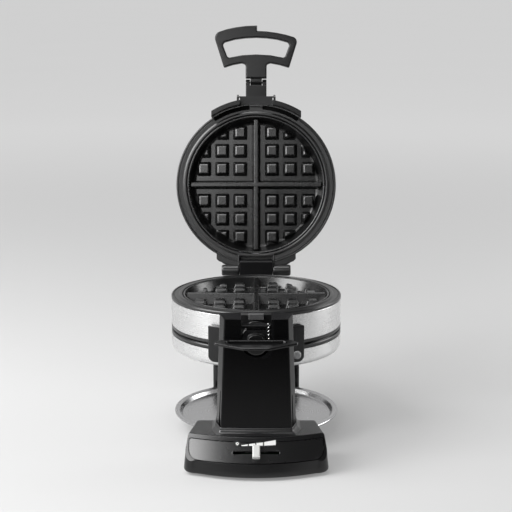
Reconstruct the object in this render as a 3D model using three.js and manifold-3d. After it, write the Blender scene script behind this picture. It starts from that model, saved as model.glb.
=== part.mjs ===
// Double flip Belgian waffle maker: a stand with a drip tray, a turning head
// with two pairs of round grids, a hinged upper lid (open) and a hinged lower
// lid (closed), and a folding loop handle. Millimetres, +Z up, -Y is the front.
import * as THREE from 'three';
import { mergeVertices } from 'three/addons/utils/BufferGeometryUtils.js';
import Module from 'manifold-3d';

const wasm = await Module();
wasm.setup();

// ---------------------------------------------------------------- dimensions
const FLOOR_Z = -168;          // worktop, measured from the head's top rim
const SHIFT_Y = 5.06;          // centres the bounding box on the origin
const SEG = 36;                // facets of a full round on the head

const R_HEAD = 102.5;          // outer radius of head and lids
const R_CAV = 88.6;            // opening of the rim around a grid
const MID_T = 41;              // thickness of the middle section
const RIM_H = 4.5;             // height of each moulded rim
const LID_T = 26;              // thickness of a lid
const GAP = 0.4;               // parting gap between lid and middle
const AXIS_Z = -MID_T / 2;     // turning axis of the head
const HINGE_Y = 110;           // lid hinge pins, behind the head
const HINGE_Z = 3;
const HINGE_R = 8;             // hinge barrel radius
const LID_OPEN = 100;          // degrees that the upper lid stands open

const CELL = 23.3;             // pitch of the grid pegs
const CELL_0 = 20.5;           // first peg from the dividing ribs
const PEG_BASE = 16.4, PEG_TOP = 12.6, PEG_H = 9.5;
const CAV_DEPTH = 13.5;        // depth of a grid's well
const PLATE_T = 2.0;           // casting thickness

const COL_TOP = 9.2;           // top of the fork's posts
const COL_HW_TOP = 40.6, COL_HW_BOT = 45.2;
const COL_F_TOP = -154, COL_F_BOT = -157.5;
const COL_B_TOP = -138;
const NOTCH_HW = 16.9;
const AXLE_R = 10;

const BASE_TOP = -125;
const DECK_TOP = -152.6;       // shelf that carries the drip tray
const TRAY_R = 100;
const SLOT_HW = 26;            // half length of the browning slider's slot
const FOLD_Y = -133, FOLD_H = 25;   // fold pin of the handle, lid closed

// ------------------------------------------------------------------- helpers
function solid(geometry) {
  const g = geometry.clone();
  for (const name of Object.keys(g.attributes)) if (name !== 'position') g.deleteAttribute(name);
  const m = mergeVertices(g, 1e-3);
  const p = m.attributes.position.array;
  let idx = Array.from(m.index.array);
  const keep = [];
  for (let i = 0; i < idx.length; i += 3)
    if (idx[i] !== idx[i + 1] && idx[i + 1] !== idx[i + 2] && idx[i] !== idx[i + 2]) keep.push(idx[i], idx[i + 1], idx[i + 2]);
  idx = keep;
  let vol = 0;
  const v = (i) => [p[3 * i], p[3 * i + 1], p[3 * i + 2]];
  for (let i = 0; i < idx.length; i += 3) {
    const a = v(idx[i]), b = v(idx[i + 1]), c = v(idx[i + 2]);
    vol += a[0] * (b[1] * c[2] - b[2] * c[1]) + a[1] * (b[2] * c[0] - b[0] * c[2]) + a[2] * (b[0] * c[1] - b[1] * c[0]);
  }
  if (vol < 0) for (let i = 0; i < idx.length; i += 3) { const t = idx[i]; idx[i] = idx[i + 1]; idx[i + 1] = t; }
  return new wasm.Manifold(new wasm.Mesh({ numProp: 3, vertProperties: new Float32Array(p), triVerts: new Uint32Array(idx) }));
}
function geometryOf(man) {
  const mesh = man.getMesh();
  const g = new THREE.BufferGeometry();
  g.setAttribute('position', new THREE.BufferAttribute(new Float32Array(mesh.vertProperties), 3));
  g.setIndex(new THREE.BufferAttribute(new Uint32Array(mesh.triVerts), 1));
  g.computeVertexNormals();
  return g;
}
const box = (x0, x1, y0, y1, z0, z1) => solid(new THREE.BoxGeometry(x1 - x0, y1 - y0, z1 - z0).translate((x0 + x1) / 2, (y0 + y1) / 2, (z0 + z1) / 2));
function cylX(r, x0, x1, y, z, n = 28) {
  return solid(new THREE.CylinderGeometry(r, r, x1 - x0, n).rotateZ(Math.PI / 2).translate((x0 + x1) / 2, y, z));
}
function cylY(r, y0, y1, x, z, n = 36, r2 = r) {
  return solid(new THREE.CylinderGeometry(r2, r, y1 - y0, n).translate(x, (y0 + y1) / 2, z));
}
function cylZ(r, z0, z1, x, y, n = 32, r2 = r) {
  return solid(new THREE.CylinderGeometry(r2, r, z1 - z0, n).rotateX(Math.PI / 2).translate(x, y, (z0 + z1) / 2));
}
// closed profile of [r, z] turned about Z; points on the axis end the profile
function turned(profile, n = SEG, open = false) {
  const pts = profile.map(([r, z]) => new THREE.Vector2(r, z));
  if (!open) pts.push(pts[0].clone());
  return solid(new THREE.LatheGeometry(pts, n).rotateX(Math.PI / 2));
}
// outline of [x, y] points raised along Z
function prism(points, z0, z1, holes = []) {
  const s = new THREE.Shape(points.map(([x, y]) => new THREE.Vector2(x, y)));
  for (const h of holes) s.holes.push(new THREE.Path(h.map(([x, y]) => new THREE.Vector2(x, y))));
  return solid(new THREE.ExtrudeGeometry(s, { depth: z1 - z0, bevelEnabled: false }).translate(0, 0, z0));
}
// skin through rings of equally many points, each [x, y, z], with fan caps
function loft(rings) {
  const n = rings[0].length, pos = [], idx = [];
  for (const r of rings) for (const p of r) pos.push(...p);
  for (let k = 0; k + 1 < rings.length; k++)
    for (let i = 0; i < n; i++) {
      const a = k * n + i, b = k * n + (i + 1) % n, c = a + n, d = b + n;
      idx.push(a, b, d, a, d, c);
    }
  for (const [k, flip] of [[0, true], [rings.length - 1, false]]) {
    const r = rings[k], c = [0, 1, 2].map((j) => r.reduce((s, p) => s + p[j], 0) / n);
    const ci = pos.length / 3;
    pos.push(...c);
    for (let i = 0; i < n; i++) {
      const a = k * n + i, b = k * n + (i + 1) % n;
      if (flip) idx.push(ci, b, a); else idx.push(ci, a, b);
    }
  }
  const g = new THREE.BufferGeometry();
  g.setAttribute('position', new THREE.Float32BufferAttribute(pos, 3));
  g.setIndex(idx);
  return solid(g);
}
const add = (...s) => s.reduce((a, b) => a.add(b));
const cut = (a, ...s) => s.reduce((x, y) => x.subtract(y), a);
const flipZ = (man) => {          // mirror about the head's mid plane
  const m = man.getMesh(), p = new Float32Array(m.vertProperties), t = new Uint32Array(m.triVerts);
  for (let i = 2; i < p.length; i += 3) p[i] = 2 * AXIS_Z - p[i];
  const g = new THREE.BufferGeometry();
  g.setAttribute('position', new THREE.BufferAttribute(p, 3));
  g.setIndex(new THREE.BufferAttribute(t, 1));
  return solid(g);
};
// an arc-shaped wall between two radii, from -a to +a degrees about the front
function arcWall(r0, r1, a, z0, z1, n = 20, a0 = -a) {
  const out = [], inn = [];
  for (let i = 0; i <= n; i++) {
    const t = THREE.MathUtils.degToRad(a0 + (a - a0) * i / n);
    out.push([r1 * Math.sin(t), -r1 * Math.cos(t)]);
    inn.push([r0 * Math.sin(t), -r0 * Math.cos(t)]);
  }
  return prism([...out, ...inn.reverse()], z0, z1);
}
const rounded = (x0, x1, y0, y1, r, n = 4) => {
  const pts = [];
  for (const [cx, cy, s] of [[x1 - r, y1 - r, 0], [x0 + r, y1 - r, 90], [x0 + r, y0 + r, 180], [x1 - r, y0 + r, 270]])
    for (let i = 0; i <= n; i++) {
      const t = THREE.MathUtils.degToRad(s + 90 * i / n);
      pts.push([cx + r * Math.cos(t), cy + r * Math.sin(t)]);
    }
  return pts;
};

// ------------------------------------------------------------ cooking grids
// A round well with sloping wall, a cross of dividing ribs and square pegs.
// Opens upward; zf is the face plane. The same casting serves all four places.
function grid(zf) {
  const floor = zf - CAV_DEPTH, under = floor - PLATE_T;
  const pan = turned([
    [0, under], [80.5, under], [87.5, zf - 3.4], [R_CAV - 0.5, zf - 3.2], [R_CAV - 0.5, zf - 0.5],
    [86.6, zf - 0.5], [79.6, floor], [0, floor]], SEG, true);
  const limit = turned([[0, floor - 1], [79.0, floor - 1], [76.2, floor + PEG_H + 1], [0, floor + PEG_H + 1]], SEG, true);
  let pegs = null;
  const frustum = (cx, cy) => {
    const ring = (h, z) => [[cx - h, cy - h, z], [cx + h, cy - h, z], [cx + h, cy + h, z], [cx - h, cy + h, z]];
    return loft([ring(PEG_BASE / 2, floor - 0.8), ring(PEG_TOP / 2, floor + PEG_H)]);
  };
  for (let i = 0; i < 3; i++) for (let j = 0; j < 3; j++) {
    if (i + j > 3) continue;
    for (const sx of [-1, 1]) for (const sy of [-1, 1]) {
      const p = frustum(sx * (CELL_0 + CELL * i), sy * (CELL_0 + CELL * j));
      pegs = pegs ? pegs.add(p) : p;
    }
  }
  pegs = pegs.intersect(limit);
  const rib = (along) => {
    const L = 81.5, b = 5.2, t = 1.9, z0 = floor - 0.8, z1 = zf - 1.0;
    const sec = (u) => along === 'x'
      ? [[u, -b, z0], [u, b, z0], [u, t, z1], [u, -t, z1]]
      : [[-b, u, z0], [b, u, z0], [t, u, z1], [-t, u, z1]];
    return loft([sec(-L), sec(L)]);
  };
  const clip = turned([[0, floor - 1], [80.4, floor - 1], [86.6, zf - 0.6], [0, zf - 0.6]], SEG, true);
  return add(pan, pegs, rib('x').intersect(clip), rib('y').intersect(clip));
}
// heating element: an almost closed round rod behind a grid, with its two ends
function heater(zc) {
  const ring = turned([[58, zc - 2], [62, zc - 2], [62, zc + 2], [58, zc + 2]], 24);
  return cut(ring, box(-7, 7, 40, 80, zc - 5, zc + 5));
}

// ------------------------------------------------------------- lid, closed
const LZ = GAP;                                   // parting face of the lid
const BITE = () => box(-22, 22, 88.9, 130, -40, 60);   // clearance for the hinge block
function lidRing() {
  const ring = turned([[R_CAV, LZ], [R_HEAD, LZ], [R_HEAD, LZ + RIM_H], [R_HEAD - 2, LZ + RIM_H + 1.2], [R_CAV, LZ + RIM_H + 1.2]]);
  const lugs = [-1, 1].map((s) => add(
    box(Math.min(s * 22.4, s * 43), Math.max(s * 22.4, s * 43), 90, HINGE_Y, LZ + 0.2, LZ + RIM_H - 0.3),
    cylX(HINGE_R, Math.min(s * 22.4, s * 43), Math.max(s * 22.4, s * 43), HINGE_Y, HINGE_Z)));
  const bore = cylX(2.6, -60, 60, HINGE_Y, HINGE_Z, 20);
  return cut(add(cut(ring, BITE()), ...lugs), bore);
}
function lidShell() {
  const z0 = LZ + RIM_H + 0.4, z1 = LZ + LID_T, r = 8;
  const out = [], inn = [];
  for (let i = 0; i <= 3; i++) {
    const t = (Math.PI / 2) * i / 3;
    out.push([R_HEAD - r + r * Math.cos(t), z1 - r + r * Math.sin(t)]);
    inn.push([R_HEAD - r + (r - 1.1) * Math.cos(t), z1 - r + (r - 1.1) * Math.sin(t)]);
  }
  const shell = turned([[R_HEAD, z0 + 1.0], ...out, [0, z1], [0, z1 - 1.1], ...inn.reverse(), [R_HEAD - 1.1, z0 + 1.0]], SEG, false);
  return cut(shell, BITE());
}
function bracket(below, above) {
  const z0 = LZ - below, z1 = LZ + above;
  const skirt = arcWall(R_HEAD + 0.6, R_HEAD + 5.8, 33.5, z0, z1, 22);
  const block = box(-20.5, 20.5, -113.5, -106.0, z0 + 4, z1 + 2);
  return add(skirt, block);
}

// ------------------------------------------------------------ frame of parts
const group = new THREE.Group();
const stand = new THREE.Group();
stand.position.set(0, SHIFT_Y, -FLOOR_Z);
group.add(stand);
const lidUp = new THREE.Group();                 // upper lid turned open on its pin
lidUp.position.set(0, HINGE_Y, HINGE_Z);
lidUp.rotation.x = THREE.MathUtils.degToRad(-LID_OPEN);
stand.add(lidUp);
const lidIn = new THREE.Group();
lidIn.position.set(0, -HINGE_Y, -HINGE_Z);
lidUp.add(lidIn);

const MAT = {
  black: [0x1a1a1b, 0.42, 0.0], satin: [0x232324, 0.5, 0.0], gloss: [0x121213, 0.2, 0.0],
  grid: [0x2b2b2c, 0.4, 0.15], steel: [0xb9babb, 0.3, 1.0], tray: [0xc4c5c6, 0.28, 1.0],
  pin: [0xa0a2a4, 0.3, 1.0], rubber: [0x151515, 0.9, 0.0], white: [0xe8e8e4, 0.4, 0.0],
  lens: [0x9fa3a6, 0.15, 0.0], board: [0x2e5a34, 0.6, 0.0], rod: [0x5a5c60, 0.45, 0.8],
};
function put(parent, name, man, kind) {
  const [color, roughness, metalness] = MAT[kind];
  const mesh = new THREE.Mesh(geometryOf(man), new THREE.MeshStandardMaterial({ color, roughness, metalness }));
  mesh.name = name;
  parent.add(mesh);
}

// --------------------------------------------------------------------- base
// plan outline at one level: trapezoid with rounded corners and a bowed front
function basePlan(z, hw, hwBack, yCorner, bow, yBack, rf, n = 14) {
  const pts = [];
  const front = [];
  for (let i = 0; i <= n; i++) {                     // bowed front, left to right
    const u = -1 + 2 * i / n, x = u * (hw - rf);
    front.push([x, yCorner - bow * (1 - u * u), z]);
  }
  const fillet = (cx, cy, a0, a1) => {
    const f = [];
    for (let i = 1; i < 6; i++) {
      const t = THREE.MathUtils.degToRad(a0 + (a1 - a0) * i / 6);
      f.push([cx + rf * Math.cos(t), cy + rf * Math.sin(t), z]);
    }
    return f;
  };
  pts.push(...front, ...fillet(hw - rf, yCorner + rf, -90, 0), [hw, yCorner + rf, z], [hwBack, yBack, z], [-hwBack, yBack, z],
    [-hw, yCorner + rf, z], ...fillet(-hw + rf, yCorner + rf, 180, 270));
  return pts;
}
const B_BOT = FLOOR_Z + 3;
const baseOuter = loft([
  basePlan(B_BOT, 78.6, 71.5, -176, 15.0, -108, 14),
  basePlan(B_BOT + 3.4, 81.0, 72.5, -179, 15.4, -107, 14),
  basePlan(-149.5, 79.6, 71.0, -176.6, 15.0, -108, 13),
  basePlan(BASE_TOP - 1.5, 77.0, 67.9, -159.2, 14.3, -110.6, 6),
  basePlan(BASE_TOP, 75.6, 67.2, -157.8, 14.0, -111.4, 5.4)]);
const baseInner = loft([
  basePlan(B_BOT - 1, 75.6, 68.7, -173, 15.0, -110.8, 12),
  basePlan(-149.5, 76.8, 68.2, -173.6, 15.0, -110.8, 11),
  basePlan(BASE_TOP - 2.6, 73.6, 64.6, -156.4, 13.6, -113.4, 5)]);
// the deck runs back under the tray
const deck = prism(rounded(-60, 60, -116, 112, 14), B_BOT, DECK_TOP);
const deckIn = prism(rounded(-57.4, 57.4, -113, 109.4, 11), B_BOT - 1, DECK_TOP - 2.6);
let baseShell = cut(add(cut(baseOuter, baseInner), cut(deck, deckIn, baseInner)), deckIn.subtract(box(-100, 100, -200, -106, -200, 0)));
// recess for the browning panel, sloping like the front of the housing
const panelTilt = Math.atan2(BASE_TOP - 1.5 + 149.5, 17.4);
const slot = solid(new THREE.BoxGeometry(2 * SLOT_HW, 30, 4.0).translate(0, 0, 0).rotateX(panelTilt - Math.PI / 2).translate(0, -183.0, -139.2));
baseShell = cut(baseShell, slot, box(-14, 14, -160, -114, -126, -120));
put(stand, 'base_housing', baseShell, 'black');

const cover = prism(basePlan(0, 75.2, 68.3, -172.6, 15.0, -111.3, 11).map(([x, y]) => [x, y]), B_BOT + 0.1, B_BOT + 2.1);
const deckCover = prism(rounded(-57.0, 57.0, -105.4, 109.0, 11), B_BOT + 0.1, B_BOT + 2.1);
put(stand, 'base_cover_front', cover, 'satin');
put(stand, 'base_cover_rear', deckCover, 'satin');
const FEET = { foot_front_left: [-58, -160], foot_front_right: [58, -160], foot_rear_left: [-44, 94], foot_rear_right: [44, 94] };
for (const [name, [x, y]] of Object.entries(FEET)) put(stand, name, cylZ(8, FLOOR_Z, B_BOT - 0.2, x, y, 24, 8.6), 'rubber');

// browning slider: carriage behind the slope, knob in front of it
const knob = add(
  solid(new THREE.BoxGeometry(8.6, 7.5, 15.5).rotateX(panelTilt - Math.PI / 2).translate(0, -187.0, -136.6)),
  solid(new THREE.BoxGeometry(3.4, 16, 2.0).rotateX(panelTilt - Math.PI / 2).translate(0, -179.6, -142.3)));
put(stand, 'browning_slider', knob, 'white');
put(stand, 'slide_control', box(-34, 34, -160, -150, -149, -143), 'board');
put(stand, 'control_board', box(-50, 50, -140, -116, -160, -158), 'board');

// ------------------------------------------------------------------- column
const colPlan = (z, hw, yf, yb, rf = 6) => {
  const pts = [];
  for (let i = 0; i <= 8; i++) { const u = -1 + 2 * i / 8; pts.push([u * (hw - rf), yf - 1.2 * (1 - u * u), z]); }
  for (let i = 1; i < 5; i++) { const t = THREE.MathUtils.degToRad(-90 + 90 * i / 5); pts.push([hw - rf + rf * Math.cos(t), yf + rf + rf * Math.sin(t), z]); }
  pts.push([hw, yf + rf, z], [hw, yb, z], [-hw, yb, z], [-hw, yf + rf, z]);
  for (let i = 1; i < 5; i++) { const t = THREE.MathUtils.degToRad(180 + 90 * i / 5); pts.push([-hw + rf + rf * Math.cos(t), yf + rf + rf * Math.sin(t), z]); }
  return pts;
};
const hwAt = (z) => COL_HW_TOP + (COL_HW_BOT - COL_HW_TOP) * (COL_TOP - z) / (COL_TOP - BASE_TOP);
const yfAt = (z) => COL_F_TOP + (COL_F_BOT - COL_F_TOP) * (COL_TOP - z) / (COL_TOP - BASE_TOP);
const CB = BASE_TOP + 0.3;
let column = loft([
  colPlan(CB, 48.2, -160.6, -113.5, 8), colPlan(CB + 1.6, 47.4, -159.6, -114.4, 8), colPlan(CB + 4.5, hwAt(CB + 4.5), yfAt(CB + 4.5), -115.5),
  colPlan(-76, hwAt(-76), yfAt(-76), COL_B_TOP), colPlan(COL_TOP - 2.4, hwAt(COL_TOP), yfAt(COL_TOP), COL_B_TOP),
  colPlan(COL_TOP - 0.7, hwAt(COL_TOP) - 0.7, yfAt(COL_TOP) + 0.9, COL_B_TOP), colPlan(COL_TOP, hwAt(COL_TOP) - 2.4, yfAt(COL_TOP) + 2.8, COL_B_TOP)]);
const columnIn = loft([
  colPlan(CB - 1, 42.4, -154.6, -117.4, 5), colPlan(-78, 40.4, yfAt(-78) + 2.6, COL_B_TOP - 2.4, 5), colPlan(-46, 38.8, yfAt(-46) + 2.6, COL_B_TOP - 2.4, 5)]);
column = cut(column, columnIn, box(-NOTCH_HW, NOTCH_HW, -170, -130, AXIS_Z, 20), cylY(NOTCH_HW, -170, -130, 0, AXIS_Z, 48));
put(stand, 'column', column, 'black');
const bush = cut(cylY(NOTCH_HW - 0.3, -149, -139, 0, AXIS_Z, 40), cylY(AXLE_R + 0.25, -160, -130, 0, AXIS_Z, 40),
  box(-30, 30, -160, -130, AXIS_Z + 12.6, 20));
put(stand, 'axle_bush', bush, 'satin');
put(stand, 'bearing_cap', add(box(-NOTCH_HW + 0.3, NOTCH_HW - 0.3, -151.6, -140, AXIS_Z + 13.0, AXIS_Z + 18.2), box(-9, 9, -150, -140, AXIS_Z + 18.0, AXIS_Z + 21)), 'satin');
const coil = [];
for (let i = 0; i < 5; i++) { const z = -20.6 + 2.9 * i; coil.push([0.7, z], [1.55, z + 0.5], [1.55, z + 1.2], [0.7, z + 1.7]); }
put(stand, 'detent_spring', solid(new THREE.LatheGeometry([new THREE.Vector2(0, -20.6), ...coil.map(([r, z]) => new THREE.Vector2(r, z)), new THREE.Vector2(0, -7.3)], 8).rotateX(Math.PI / 2).translate(13.1, -151.3, -0.6)), 'pin');

// --------------------------------------------------- rear guard, inlet, tray
put(stand, 'rear_guard', add(prism(rounded(-56, 56, 101.4, 110.6, 3), DECK_TOP + 0.3, -124), loft([
  rounded(-56, 56, 101.4, 110.6, 3).map(([x, y]) => [x, y, -124.5]), rounded(-52, 52, 103, 110, 3).map(([x, y]) => [x, y, -118])])), 'black');
put(stand, 'cord_inlet', add(cylY(7.5, 112.4, 114.6, 30, -158.6, 24), cylY(5.2, 114.2, 121.5, 30, -158.6, 24, 4.2)), 'rubber');
const TZ = DECK_TOP + 0.3;
const tray = turned([[0, TZ], [82, TZ], [93.5, TZ + 1.6], [98.4, TZ + 5.4], [99.4, TZ + 6.0], [TRAY_R, TZ + 5.6], [TRAY_R - 0.2, TZ + 6.9], [98.0, TZ + 6.6], [92.8, TZ + 2.7], [81.6, TZ + 1.1], [0, TZ + 1.1]], SEG, true);
put(stand, 'drip_tray', tray, 'tray');

// -------------------------------------------------------------- head, middle
const midRimTop = turned([[R_CAV, 0], [R_HEAD - 0.9, 0], [R_HEAD, -0.9], [R_HEAD, -RIM_H], [R_CAV, -RIM_H]]);
const spine = cut(turned([[90.5, -RIM_H + 0.2], [94.5, -RIM_H + 0.2], [94.5, -MID_T + RIM_H - 0.2], [90.5, -MID_T + RIM_H - 0.2]], 64));
put(stand, 'middle_frame', add(midRimTop, flipZ(midRimTop), spine), 'gloss');
put(stand, 'middle_band', turned([[R_HEAD - 1.3, -RIM_H - 0.3], [R_HEAD - 0.2, -RIM_H - 0.3], [R_HEAD - 0.2, -MID_T + RIM_H + 0.3], [R_HEAD - 1.3, -MID_T + RIM_H + 0.3]]), 'steel');
const midGrid = grid(0);
put(stand, 'middle_grid_upper', midGrid, 'grid');
put(stand, 'middle_grid_lower', flipZ(midGrid), 'grid');
put(stand, 'middle_heater', heater(AXIS_Z), 'rod');
// axle with its flange on the front of the middle section
const axle = add(cylY(AXLE_R, -155.6, -106, 0, AXIS_Z, 40), cut(arcWall(R_HEAD + 0.2, R_HEAD + 3.6, 9.5, AXIS_Z - 15, AXIS_Z + 15, 8)));
put(stand, 'axle', axle, 'satin');
put(stand, 'latch_keeper', add(box(-8.6, 8.6, -111.6, -106.6, -4.9, 0.8)), 'satin');
// wing grip that turns the head
const wingTop = [[-38, -162], [-46, -169.5], [-45.4, -171.4], [-32, -176.6], [-16, -179.9], [0, -181], [16, -179.9], [32, -176.6], [45.4, -171.4], [46, -169.5], [38, -162]];
const wing = loft([
  wingTop.map(([x, y]) => [x * 0.955, -162 + (y + 162) * 0.86, AXIS_Z - 4.8]), wingTop.map(([x, y]) => [x, y, AXIS_Z - 1.6]),
  wingTop.map(([x, y]) => [x, y, AXIS_Z + 1.6]), wingTop.map(([x, y]) => [x * 0.955, -162 + (y + 162) * 0.86, AXIS_Z + 5.2])]);
const dish = loft([
  wingTop.map(([x, y]) => [x * 0.62, -164.4 + (y + 162) * 0.5, AXIS_Z + 1.0]), wingTop.map(([x, y]) => [x * 0.74, -163.6 + (y + 162) * 0.64, AXIS_Z + 6])]);
const tab = cut(cylY(15.6, -163.5, -157.4, 0, AXIS_Z, 40), box(-30, 30, -170, -150, AXIS_Z - 2, 40));
put(stand, 'flip_grip', add(cut(wing, dish), tab, cylY(AXLE_R + 0.4, -163, -155.9, 0, AXIS_Z, 40)), 'black');
// hinge block behind the head, carrying both pins
const hingeProfile = [[103.6, AXIS_Z - 37], [115.5, AXIS_Z - 37], [118, AXIS_Z - 34], [118, AXIS_Z + 34], [115.5, AXIS_Z + 37], [103.6, AXIS_Z + 37]];
let hinge = solid(new THREE.ExtrudeGeometry(new THREE.Shape(hingeProfile.map(([y, z]) => new THREE.Vector2(y, z))), { depth: 41.6, bevelEnabled: false })
  .applyMatrix4(new THREE.Matrix4().set(0, 0, 1, -20.8, 1, 0, 0, 0, 0, 1, 0, 0, 0, 0, 0, 1)));
hinge = cut(hinge, cylX(2.6, -60, 60, HINGE_Y, HINGE_Z, 20), cylX(2.6, -60, 60, HINGE_Y, 2 * AXIS_Z - HINGE_Z, 20));
put(stand, 'hinge_block', hinge, 'black');
put(stand, 'hinge_pin_upper', cylX(2.3, -43.4, 43.4, HINGE_Y, HINGE_Z, 16), 'pin');
put(stand, 'hinge_pin_lower', cylX(2.3, -43.4, 43.4, HINGE_Y, 2 * AXIS_Z - HINGE_Z, 16), 'pin');

// ---------------------------------------------------------------- lower lid
put(stand, 'lower_lid_ring', flipZ(lidRing()), 'black');
put(stand, 'lower_lid_shell', flipZ(lidShell()), 'steel');
const lidGrid = flipZ(grid(-MID_T - GAP));         // faces up onto the head from above
put(stand, 'lower_lid_grid', grid(-MID_T - GAP), 'grid');
put(stand, 'lower_heater', heater(-MID_T - GAP - CAV_DEPTH - PLATE_T - 3.2), 'rod');
let lowBracket = add(arcWall(R_HEAD + 0.6, R_HEAD + 5.8, 31.0, -57.6, -17.4, 22));
lowBracket = cut(lowBracket, box(-20.4, 20.4, -130, -95, -40, -10), cylY(4.4, -120, -80, 46.8, -48.4, 24));
put(stand, 'lower_bracket', lowBracket, 'black');
const lensY = -Math.sqrt((R_HEAD + 5.8) ** 2 - 46.8 ** 2);
put(stand, 'ready_lens', add(cylY(4.0, lensY - 1.4, lensY + 3.4, 46.8, -48.4, 24), cylY(3.2, lensY - 2.2, lensY - 1.0, 46.8, -48.4, 24, 4.0)), 'lens');

// ---------------------------------------------------------------- upper lid
put(lidIn, 'upper_lid_ring', lidRing(), 'black');
put(lidIn, 'upper_lid_shell', lidShell(), 'steel');
put(lidIn, 'upper_lid_grid', lidGrid, 'grid');
put(lidIn, 'upper_heater', heater(LZ + CAV_DEPTH + PLATE_T + 3.2), 'rod');
let upBracket = bracket(15, 16.8);
const stub = add(box(-14, 14, FOLD_Y + 6, -110, LZ + 13, LZ + 22.4),
  ...[-1, 1].map((s) => add(box(Math.min(s * 7.9, s * 14), Math.max(s * 7.9, s * 14), FOLD_Y, FOLD_Y + 6.6, LZ + 15, FOLD_H + 1.0),
    cylX(4.0, Math.min(s * 7.9, s * 14), Math.max(s * 7.9, s * 14), FOLD_Y, FOLD_H))),
  ...[-1, 1].map((s) => box(Math.min(s * 22.6, s * 24.6), Math.max(s * 22.6, s * 24.6), -113.5, -104.5, LZ + 4, LZ + 15)));
upBracket = cut(add(upBracket, stub), cylX(1.8, -40, 40, FOLD_Y, FOLD_H, 16), box(-20.4, 20.4, -130, -95, -40, 2.2));
put(lidIn, 'upper_bracket', upBracket, 'black');
put(lidIn, 'handle_pin', cylX(1.5, -13.6, 13.6, FOLD_Y, FOLD_H, 14), 'pin');

// folding loop handle: outline in lid plan, D is the distance from the centre
const D = (pts) => pts.map(([x, d]) => [x, -d]);
const outline = D([[-14, 138.4], [-14, 152.5], [-15.4, 155.4], [-18.5, 156.9], [-30, 154.9], [-41, 151.5], [-42.6, 152.2], [-53.0, 186.5], [-53.2, 191], [-51.6, 194.8], [-48.5, 197.3],
  [-38, 200.6], [-26, 203.2], [-13, 204.9], [-0.8, 205.5], [-0.8, 198.6], [13, 198.0], [26, 196.3], [38, 193.8], [47.5, 191.0], [51.2, 188.7], [53.0, 185.4], [52.6, 181.8], [42.8, 152.4],
  [41, 151.5], [30, 154.9], [18.5, 156.9], [15.4, 155.4], [14, 152.5], [14, 138.4]]);
const opening = D([[-34.5, 164.6], [-18, 167.4], [0, 168.4], [18, 167.4], [34.5, 164.6], [37.4, 165.8], [43.0, 180.4], [42.4, 183.2], [40.0, 184.8], [27, 187.6], [14, 189.3], [0, 190],
  [-14, 189.3], [-27, 187.6], [-40.0, 184.8], [-42.6, 183.2], [-43.2, 180.4], [-37.4, 165.8]]);
const HZ0 = LZ + 13, HZ1 = LZ + 22.4;
const handle = cut(add(prism(outline, HZ0, HZ1, [opening]),
  box(-7.5, 7.5, -138.6, FOLD_Y, HZ0 + 4.5, FOLD_H + 2.6), cylX(4.0, -7.5, 7.5, FOLD_Y, FOLD_H)), cylX(1.8, -40, 40, FOLD_Y, FOLD_H, 16));
put(lidIn, 'loop_handle', handle, 'black');

export default group;
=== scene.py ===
# Looks of a double flip waffle maker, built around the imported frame.
# Lengths in the geometry below are millimetres from the centre of the head's
# top rim (x right, y away from the user, z up); BASE brings them to the frame.
import math

import bmesh
import bpy
import numpy as np
from mathutils import Matrix, Vector
from mathutils.geometry import tessellate_polygon


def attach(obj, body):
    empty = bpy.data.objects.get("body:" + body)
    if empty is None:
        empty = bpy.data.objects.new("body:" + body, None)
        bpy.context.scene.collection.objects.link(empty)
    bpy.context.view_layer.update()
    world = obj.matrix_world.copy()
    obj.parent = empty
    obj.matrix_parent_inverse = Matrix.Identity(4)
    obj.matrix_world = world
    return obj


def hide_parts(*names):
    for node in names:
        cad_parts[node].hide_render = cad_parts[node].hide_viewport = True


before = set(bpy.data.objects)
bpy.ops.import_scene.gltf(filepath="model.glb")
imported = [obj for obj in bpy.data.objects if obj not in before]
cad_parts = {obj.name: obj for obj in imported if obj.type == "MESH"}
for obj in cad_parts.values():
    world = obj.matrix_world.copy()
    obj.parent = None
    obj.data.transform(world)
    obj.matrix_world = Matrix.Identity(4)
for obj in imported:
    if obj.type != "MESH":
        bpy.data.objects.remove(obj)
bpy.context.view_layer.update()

# ------------------------------------------------------------- dimensions, mm
SHIFT_Y, SHIFT_Z = 5.06, 168.0
R_HEAD, R_CAV = 102.5, 88.6
MID_T, RIM_H, LID_T, GAP = 41.0, 4.5, 26.0, 0.4
AXIS_Z = -MID_T / 2
HINGE_Y, HINGE_Z = 110.0, 3.0
LID_OPEN = 100.0
CELL, CELL_0 = 23.3, 20.5
PEG_BASE, PEG_TOP, PEG_H = 16.4, 12.6, 9.5
CAV_DEPTH, PLATE_T = 13.5, 2.0
COL_TOP = 9.2
COL_HW_TOP, COL_HW_BOT = 40.6, 45.2
COL_F_TOP, COL_F_BOT = -154.0, -157.5
COL_B_TOP = -138.0
NOTCH_HW, AXLE_R = 16.9, 10.0
FLOOR_Z, BASE_TOP, DECK_TOP = -168.0, -125.0, -152.6
B_BOT = FLOOR_Z + 3
TRAY_R = 100.0
FOLD_Y, FOLD_H = -133.0, 25.0
LZ = GAP

BASE = Matrix.Scale(0.001, 4) @ Matrix.Translation((0, SHIFT_Y, SHIFT_Z))
LID = (BASE @ Matrix.Translation((0, HINGE_Y, HINGE_Z)) @ Matrix.Rotation(math.radians(-LID_OPEN), 4, "X")
       @ Matrix.Translation((0, -HINGE_Y, -HINGE_Z)))
FLIP = BASE @ Matrix.Translation((0, 0, 2 * AXIS_Z)) @ Matrix.Scale(-1, 4, (0, 0, 1))

scene = bpy.context.scene

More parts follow.
